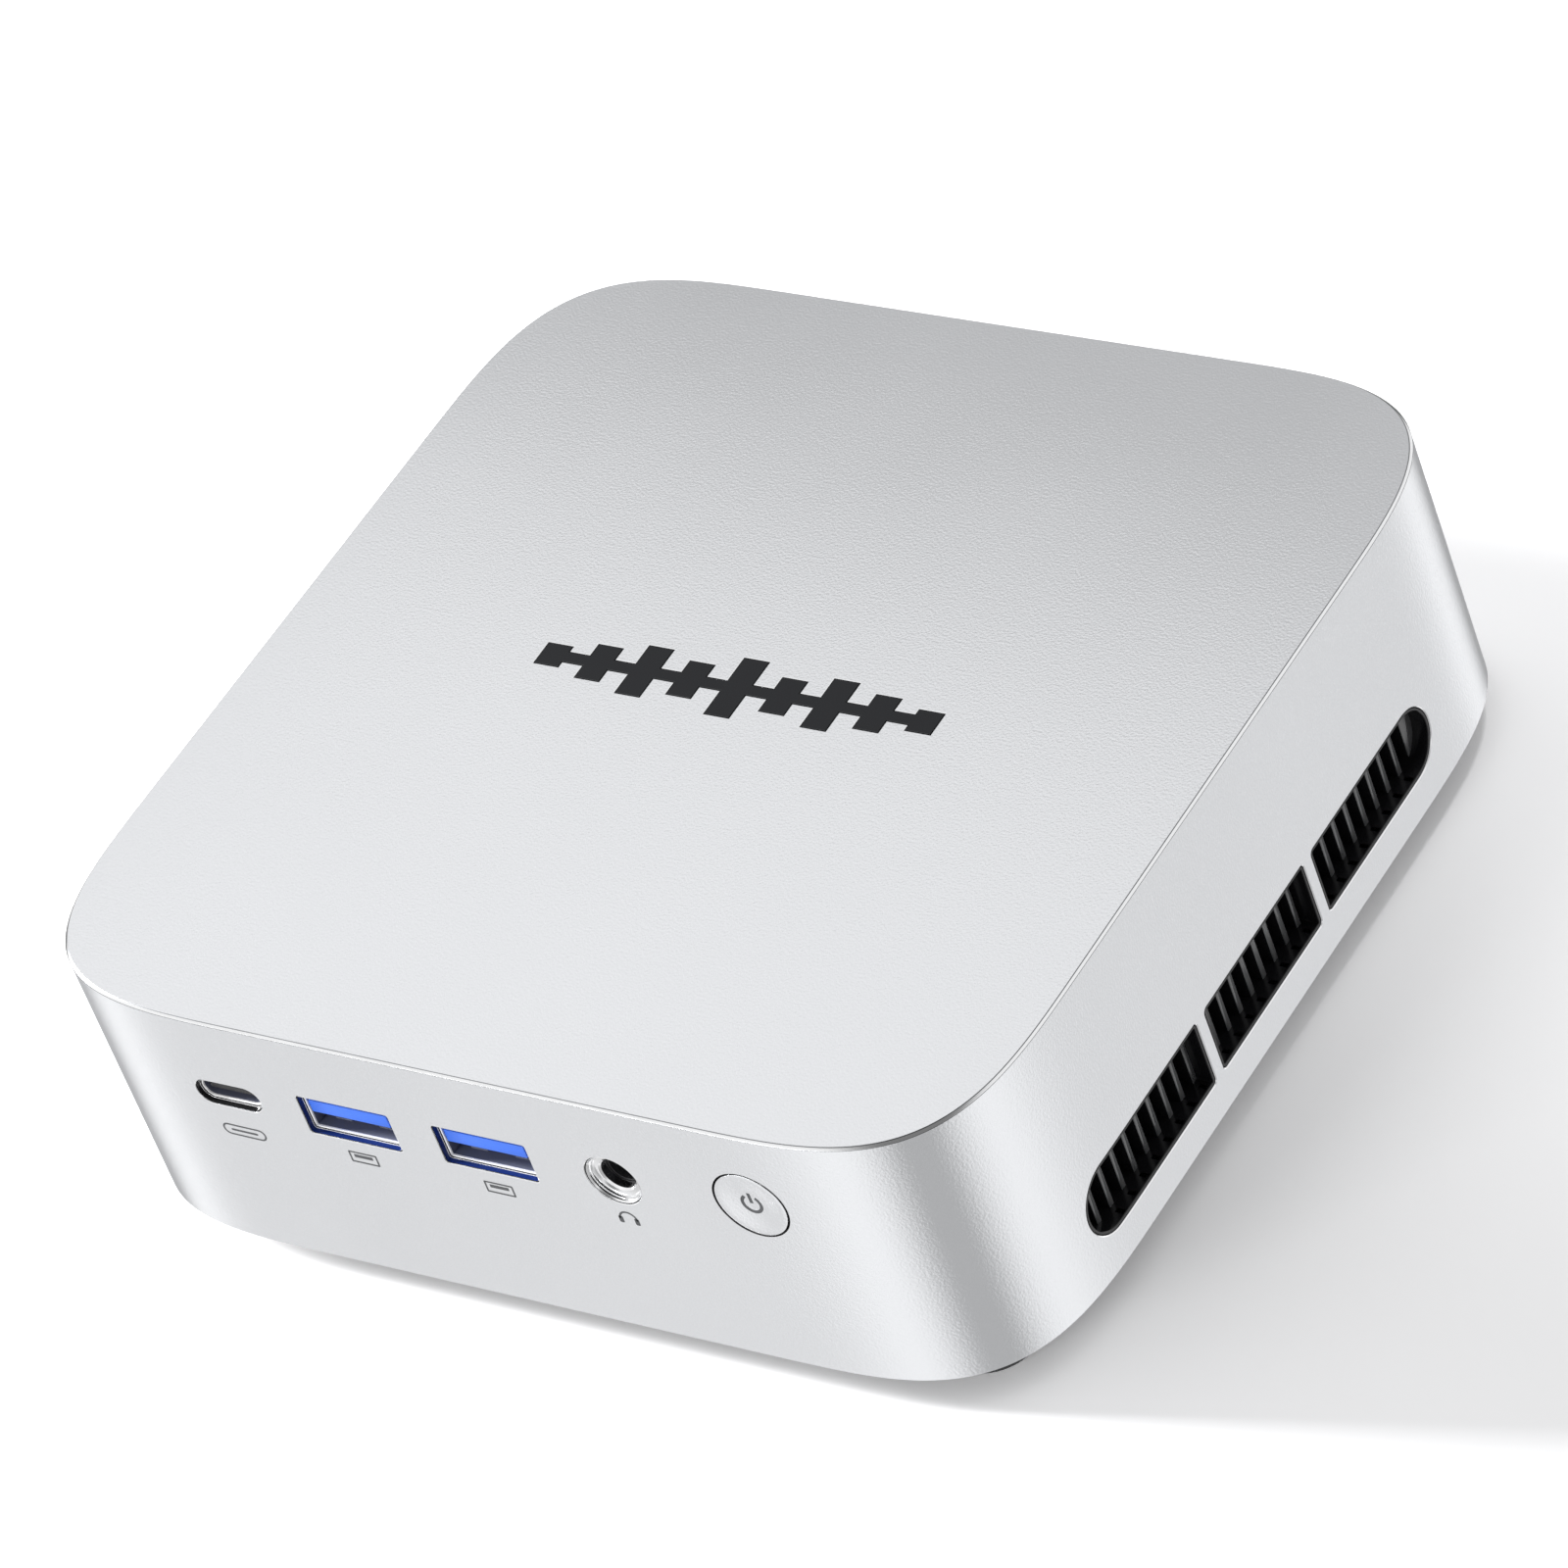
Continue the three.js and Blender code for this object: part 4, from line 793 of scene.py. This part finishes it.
def make_button():
    centre = FRONT.centre("power_button")
    _, _, (front, back) = FRONT.span("power_button")
    rim = 4.6
    flange = front + 1.5
    profile = [(0.4 * i, front + button_face(0.4 * i)) for i in range(11)]
    profile += [(rim - 0.1, front), (rim - 0.03, front + 0.02), (rim, front + 0.08), (rim, flange)]
    profile += [(rim + 0.75, flange), (rim + 0.75, flange + 0.8), (1.7, flange + 0.8), (1.7, back)]
    bands = [0] * 13 + [1] * (len(profile) - 14)
    shape = Shape().skin(wall_rings(FRONT, profile, centre, 96), bands)
    add_piece("button_cap", shape, [SILVER, MATT_BLACK], body="button", replaces=["power_button"])

    # The standby mark: an open ring and a bar, inlaid in the dished face.
    radius = 1.22
    half = 0.21  # half the width of the lines
    mouth = 34  # degrees from the top to each end of the ring
    mark = Shape()
    ring = []
    for angle in range(90 + mouth, 450 - mouth + 1, 4):
        outward = Vector((math.cos(math.radians(angle)), math.sin(math.radians(angle))))
        ring.append([outward * (radius - half), outward * (radius + half)])
    add_inlay(mark, ring, centre, front)
    bar = [[Vector((-half, z)), Vector((half, z))] for z in (0.1, 0.5, 0.9, 1.3, 1.68)]
    add_inlay(mark, bar, centre, front)
    add_piece("button_mark", mark, [INK], body="button")


def add_inlay(shape, sections, centre, front):
    """A narrow strip from pairs of points, lying on the button's face and standing 0.02 mm proud."""
    proud = 0.02
    rings = []
    for left, right in sections:
        corners = []
        for point, lift in ((left, proud), (right, proud), (right, -0.1), (left, -0.1)):
            depth = front + button_face(point.length) - lift
            corners.append(FRONT.ring([Vector(centre) + point], depth)[0])
        rings.append(corners)
    shape.skin(rings)


# ---------- Printed marks under the ports ----------
INK_BACK = 0.05  # how deep in the wall a printed mark begins, and how far it stands out
INK_PROUD = 0.012


def strip(shape, outline, width):
    """A line printed on the front, along the inside of an outline."""
    inner = offset(outline, -width)
    rings = [FRONT.ring(outline, INK_BACK, True), FRONT.ring(outline, -INK_PROUD, True)]
    rings += [FRONT.ring(inner, -INK_PROUD, True), FRONT.ring(inner, INK_BACK, True)]
    shape.loop(rings)


def patch(shape, outline):
    """A solid patch printed on the front."""
    shape.skin([FRONT.ring(outline, INK_BACK, True), FRONT.ring(outline, -INK_PROUD, True)])


def make_port_marks():
    """A small picture of each port under it: a stadium, two flat sockets and a pair of headphones."""
    line = 0.24
    level = 23.3
    shape = Shape()
    u, _ = FRONT.centre("usb_c_shell")
    strip(shape, densify(pane((u, level), 6.2, 1.8, HEIGHT)), line)
    patch(shape, pane((u, level), 3.8, 0.32, 0.12, 2))
    for name in FRONT_USB:
        u, _ = FRONT.centre(f"{name}_shell")
        strip(shape, pane((u, level), 4.0, 1.8, 0.15, 2), line)
        patch(shape, pane((u, level + 0.2), 2.6, 0.5, 0.05, 2))
    u, _ = FRONT.centre("audio_jack_ring")
    band = arc((u, level - 0.35), 1.3, 0, 180, 16) + arc((u, level - 0.35), 1.04, 180, -180, 16)
    patch(shape, band)
    for side in (-1, 1):
        patch(shape, pane((u + side * 1.08, level - 0.5), 0.62, 1.05, 0.2, 3))
    add_piece("port_marks", shape, [INK])


# ---------- Underside ----------
FOOT_REACH = 51.2  # the feet, from the middle along X and Y
INSERT_REACH = 37.5  # the bracket's inserts, from the middle along X
INTAKE = {"y": 16, "radius": 26, "rows": 4, "pitch": 5.6, "width": 2.8, "web": 1.6}
FEET = {"front_left": (-1, -1), "front_right": (1, -1), "rear_left": (-1, 1), "rear_right": (1, 1)}


def make_cover():
    """The base: a shallow black plate with a slotted air intake."""
    low, high = (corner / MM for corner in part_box("bottom_cover"))
    top = 5
    edge = HALF - high.x
    levels = [(edge + 0.5, low.z), (edge + 0.14, low.z + 0.14), (edge, low.z + 0.5), (edge, top)]
    body = Shape().skin([flat(case_outline(inset), z) for inset, z in levels])
    tools = Shape()
    for row in range(-INTAKE["rows"], INTAKE["rows"] + 1):
        y = INTAKE["y"] + row * INTAKE["pitch"]
        reach = math.sqrt(INTAKE["radius"] ** 2 - (row * INTAKE["pitch"]) ** 2)
        for left, right in ((-reach, -INTAKE["web"]), (INTAKE["web"], reach)):
            slot = panel(left, right, y - INTAKE["width"] / 2, y + INTAKE["width"] / 2, 1.2)
            flare = [(1.3, low.z - 1), (0, low.z + 0.3), (0, top + 1)]
            tools.skin([flat(offset(slot, grow), z) for grow, z in flare])
    for x, y in FEET.values():
        spot = (x * FOOT_REACH, y * FOOT_REACH)
        socket = [(6.5, low.z - 0.5), (6.15, low.z + 0.05), (6.15, low.z + 0.4)]
        socket += [(1.8, low.z + 0.401), (1.8, top + 1)]
        tools.skin(lathe_rings(socket, 48, spot))
    for side in (-1, 1):
        bore = [(3.1, low.z - 0.3), (2.8, low.z + 0.05), (2.8, top + 1)]
        tools.skin(lathe_rings(bore, 48, (side * INSERT_REACH, 0)))
    add_piece("base", cut(body, tools, [MATT_BLACK]), [], replaces=["bottom_cover"])


def make_foot(corner, x, y):
    """A rubber foot with a rounded sole round the case screw's hole."""
    node = f"foot_{corner}"
    low, high = (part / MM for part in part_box(node))
    radius = (high.x - low.x) / 2
    profile = [(3.0, high.z), (3.0, 0.25), (3.25, 0), (radius - 0.7, 0), (radius - 0.2, 0.15), (radius, 0.6)]
    profile += [(radius, 2.6), (radius - 0.1, 2.7), (radius - 0.1, high.z)]
    shape = Shape().loop(lathe_rings(profile, 56, (x * FOOT_REACH, y * FOOT_REACH)))
    add_piece(f"{node}_pad", shape, [RUBBER], replaces=[node])


def make_case_screw(corner, x, y):
    """A pan-head screw with a cross recess and a threaded shank."""
    node = f"case_screw_{corner}"
    low, high = (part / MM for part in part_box(node))
    spot = (x * FOOT_REACH, y * FOOT_REACH)
    head = low.z + 1.9
    profile = [(1.5, low.z), (2.1, low.z + 0.2), (2.45, low.z + 0.8), (2.5, head), (1.2, head + 0.001)]
    turns = 18
    pitch = (high.z - head - 0.5) / turns
    for i in range(turns):
        profile += [(1.25, head + pitch * (i + 0.3)), (1.02, head + pitch * (i + 0.8))]
    profile.append((0.7, high.z))
    body = Shape().skin(lathe_rings(profile, 32, spot))
    tools = Shape()
    arm = 1.4
    thin = 0.3
    cross = [(thin, thin), (thin, arm), (-thin, arm), (-thin, thin), (-arm, thin), (-arm, -thin)]
    cross += [(-x0, -y0) for x0, y0 in cross]
    outline = [Vector((spot[0] + a, spot[1] + b)) for a, b in cross]
    tools.skin([flat(outline, low.z - 1), flat(offset(outline, -0.12), low.z + 1.1)])
    add_piece(f"{node}_fine", cut(body, tools, [STEEL]), [], replaces=[node])


def make_insert(side, name):
    """A brass insert with a threaded bore."""
    node = f"vesa_insert_{name}"
    low, high = (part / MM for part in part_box(node))
    radius = (high.x - low.x) / 2
    profile = [(radius, high.z), (radius, low.z + 0.15), (radius - 0.15, low.z), (1.95, low.z)]
    turns = 7
    pitch = (high.z - low.z - 0.4) / turns
    for i in range(turns):
        profile += [(1.65, low.z + 0.2 + pitch * (i + 0.25)), (1.95, low.z + 0.2 + pitch * (i + 0.75))]
    profile.append((1.95, high.z))
    shape = Shape().loop(lathe_rings(profile, 40, (side * INSERT_REACH, 0)))
    add_piece(f"{node}_fine", shape, [BRASS], replaces=[node])


# ---------- What is inside keeps its CAD shape ----------
INSIDE = {
    "fan_rotor": CHARCOAL,
    "fan_housing": MATT_BLACK,
    "fan_cover": STEEL,
    "fin_stack": ALUMINIUM,
    "cold_plate": COPPER,
    "heat_pipe": COPPER,
    "processor": CHIP,
    "motherboard": BOARD,
    "memory_socket": MATT_BLACK,
    "memory_module": BOARD,
    "ssd_socket": MATT_BLACK,
    "ssd_module": BOARD,
    "ssd_screw": STEEL,
    "wifi_card": BOARD,
    "clock_battery": STEEL,
    "board_screw": STEEL,
    "power_button_guide": MATT_BLACK,
    "power_switch_plunger": CHARCOAL,
    "power_switch_body": MATT_BLACK,
}


def dress_inside():
    for name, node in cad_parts.items():
        for start, material in INSIDE.items():
            if name.startswith(start):
                node.data.materials.clear()
                node.data.materials.append(material)


# ---------- Stage, light and camera ----------
def make_floor():
    """A wide pale floor that is clear from below, so that the underside can be looked at."""
    reach = 6
    mesh = bpy.data.meshes.new("floor")
    corners = [(-reach, -reach, 0), (reach, -reach, 0), (reach, reach, 0), (-reach, reach, 0)]
    mesh.from_pydata(corners, [], [(0, 1, 2, 3)])
    floor = bpy.data.objects.new("floor", mesh)
    bpy.context.scene.collection.objects.link(floor)
    floor.visible_glossy = floor.visible_diffuse = floor.visible_shadow = False
    nodes = Nodes("floor")
    nodes.shader.inputs["Base Color"].default_value = (0.93, 0.93, 0.94, 1)
    nodes.shader.inputs["Emission Color"].default_value = (1, 1, 1, 1)
    nodes.shader.inputs["Emission Strength"].default_value = 0.13
    nodes.shader.inputs["Roughness"].default_value = 0.9
    nodes.shader.inputs["Specular IOR Level"].default_value = 0.0
    below = nodes.add("ShaderNodeNewGeometry").outputs["Backfacing"]
    clear = nodes.add("ShaderNodeBsdfTransparent").outputs[0]
    mixed = nodes.add("ShaderNodeMixShader", {0: below, 1: nodes.shader.outputs[0], 2: clear})
    nodes.tree.links.new(mixed.outputs[0], nodes.tree.nodes["Material Output"].inputs["Surface"])
    mesh.materials.append(nodes.material)


# The studio's light from below the horizon goes by the angle in degrees from the azimuth of AXIS, the
# same on both sides of it. It comes from soft panels: (angle, half width, brightness).
AXIS = (1, -1)
PANELS = [(0, 15, 0.4), (60, 77, 1.15), (123, 27, 1.3), (170, 24, 0.75)]
STEP = 6  # degrees between the colour ramp's stops
SKY = 0.92  # above the horizon
# Dimmer patches of the sky: (towards, brightness, degrees to where it ends, and to where it begins to fade)
PATCHES = [((-0.546, 0.548, 0.634), 0.5, 52, 28), ((0.45, -0.45, 0.77), 0.2, 48, 20)]


def glow(degrees):
    """The brightness at an angle from AXIS: each panel fades to nothing at its ends."""
    total = 0
    for middle, half_width, brightness in PANELS:
        away = min(abs(degrees - middle) / half_width, 1)
        total += brightness * math.cos(away * math.pi / 2) ** 2
    return total


def make_world():
    """A soft studio all round: broad bright panels with darker gaps between them."""
    world = bpy.data.worlds.new("studio")
    bpy.context.scene.world = world
    world.use_nodes = True
    tree = world.node_tree

    def add(kind, inputs=None, **settings):
        return add_node(tree, kind, inputs, **settings).outputs

    way = add("ShaderNodeTexCoord")["Generated"]
    level = add("ShaderNodeVectorMath", {0: way, 1: (1, 1, 0)}, operation="MULTIPLY")[0]
    unit = add("ShaderNodeVectorMath", {0: level}, operation="NORMALIZE")[0]
    axis = Vector((*AXIS, 0)).normalized()
    along = add("ShaderNodeVectorMath", {0: unit, 1: axis}, operation="DOT_PRODUCT")["Value"]
    angle = add("ShaderNodeMath", {0: along}, operation="ARCCOSINE")[0]
    ramp = tree.nodes.new("ShaderNodeValToRGB")
    tree.links.new(add("ShaderNodeMath", {0: angle, 1: math.pi}, operation="DIVIDE")[0], ramp.inputs[0])
    stops = [(degrees, glow(degrees)) for degrees in range(0, 181, STEP)]
    brightest = max(value for _, value in stops)
    while len(ramp.color_ramp.elements) < len(stops):
        ramp.color_ramp.elements.new(0.5)
    for element, (degrees, value) in zip(ramp.color_ramp.elements, stops):
        element.position = degrees / 180
        element.color = (*[value / brightest] * 3, 1)
    part = add("ShaderNodeSeparateXYZ", {0: way})
    above = add("ShaderNodeMapRange", {"Value": part["Z"], "From Min": -0.12, "From Max": 0.12})[0]
    low = add("ShaderNodeMath", {0: ramp.outputs[0], 1: brightest}, operation="MULTIPLY")[0]
    high = SKY
    for towards, dim, edge, core in PATCHES:
        aim = Vector(towards).normalized()
        near = add("ShaderNodeVectorMath", {0: way, 1: aim}, operation="DOT_PRODUCT")
        ends = {"From Min": math.cos(math.radians(edge)), "From Max": math.cos(math.radians(core))}
        inside = {"Value": near["Value"], **ends}
        share = add("ShaderNodeMapRange", inside, interpolation_type="SMOOTHSTEP")[0]
        high = add("ShaderNodeMix", {0: share, 2: high, 3: dim})[0]
    both = add("ShaderNodeMix", {0: above, 2: low, 3: high})[0]
    tree.links.new(both, tree.nodes["Background"].inputs["Strength"])
    tree.nodes["Background"].inputs["Color"].default_value = (1, 1, 1, 1)


def place_light(data, spot, target, turn=0):
    """Hangs a light at a spot, aimed at a target and turned about its own axis. Millimetres and degrees."""
    light = bpy.data.objects.new(data.name, data)
    light.location = Vector(spot) * MM
    aim = (Vector(target) - Vector(spot)).to_track_quat("-Z", "Y")
    light.rotation_euler = (aim @ Quaternion((0, 0, 1), math.radians(turn))).to_euler()
    light.visible_camera = False
    bpy.context.scene.collection.objects.link(light)


def panel_light(name, size, power):
    """A soft rectangular panel."""
    data = bpy.data.lights.new(name, "AREA")
    data.shape = "RECTANGLE"
    data.size, data.size_y = (side * MM for side in size)
    data.energy = power
    return data


def spot_light(name, angle, power):
    """A round lamp with a soft edge, which lights a disc of the floor."""
    data = bpy.data.lights.new(name, "SPOT")
    data.spot_size = math.radians(angle)
    data.spot_blend = 0.15
    data.shadow_soft_size = 30 * MM
    data.energy = power
    return data


def make_lights():
    place_light(panel_light("side_key", (180, 420), 28), (-1000, -212, 450), (0, 0, 0))
    place_light(panel_light("front_fill", (420, 160), 5), (-340, -940, 190), (0, 0, 0))
    place_light(panel_light("top_panel", (300, 204), 0.092), (-110, 41, 171), (-110, 41, 0), -6)
    place_light(spot_light("rear_fill", 45, 1.9), (130, 212, 420), (110, 172, 0))


CAMERA = {"spot": (563.83, -565.41, 680.29), "target": (-0.92, 2.34, 23.31), "roll": 21.58, "lens": 205.8}


def make_camera():
    """A long lens from the front right, above, turned on its axis."""
    spot, target = (Vector(CAMERA[key]) * MM for key in ("spot", "target"))
    forward = (target - spot).normalized()
    level = forward.cross(Vector((0, 0, 1))).normalized()
    roll = math.radians(CAMERA["roll"])
    right = math.cos(roll) * level + math.sin(roll) * forward.cross(level)
    up = right.cross(forward)
    data = bpy.data.cameras.new("camera")
    data.lens = CAMERA["lens"]
    data.sensor_width = 36
    data.clip_start = 0.05
    data.clip_end = 50
    camera = bpy.data.objects.new("camera", data)
    columns = Matrix((right, up, -forward)).transposed()
    camera.matrix_world = Matrix.Translation(spot) @ columns.to_4x4()
    bpy.context.scene.collection.objects.link(camera)
    bpy.context.scene.camera = camera


make_camera()
make_world()
make_floor()
make_lights()
make_shell()
make_badge()
for node_name, (side, middle_u) in zip(["side_grille_right", "side_grille_left", "rear_grille"], VENTS):
    make_vent(node_name, side, middle_u)
for port in FRONT_USB:
    make_usb_a(FRONT, port)
for port in REAR_USB:
    make_usb_a(REAR, port)
for port in REAR_HDMI:
    make_hdmi(port)
make_usb_c(FRONT, "usb_c")
make_audio_jack()
make_ethernet()
make_power_inlet()
make_button()
make_port_marks()
make_cover()
for corner_name, (sx, sy) in FEET.items():
    make_foot(corner_name, sx, sy)
    make_case_screw(corner_name, sx, sy)
for side_name, sign in (("left", -1), ("right", 1)):
    make_insert(sign, side_name)
dress_inside()

bpy.context.scene.view_settings.view_transform = "Standard"
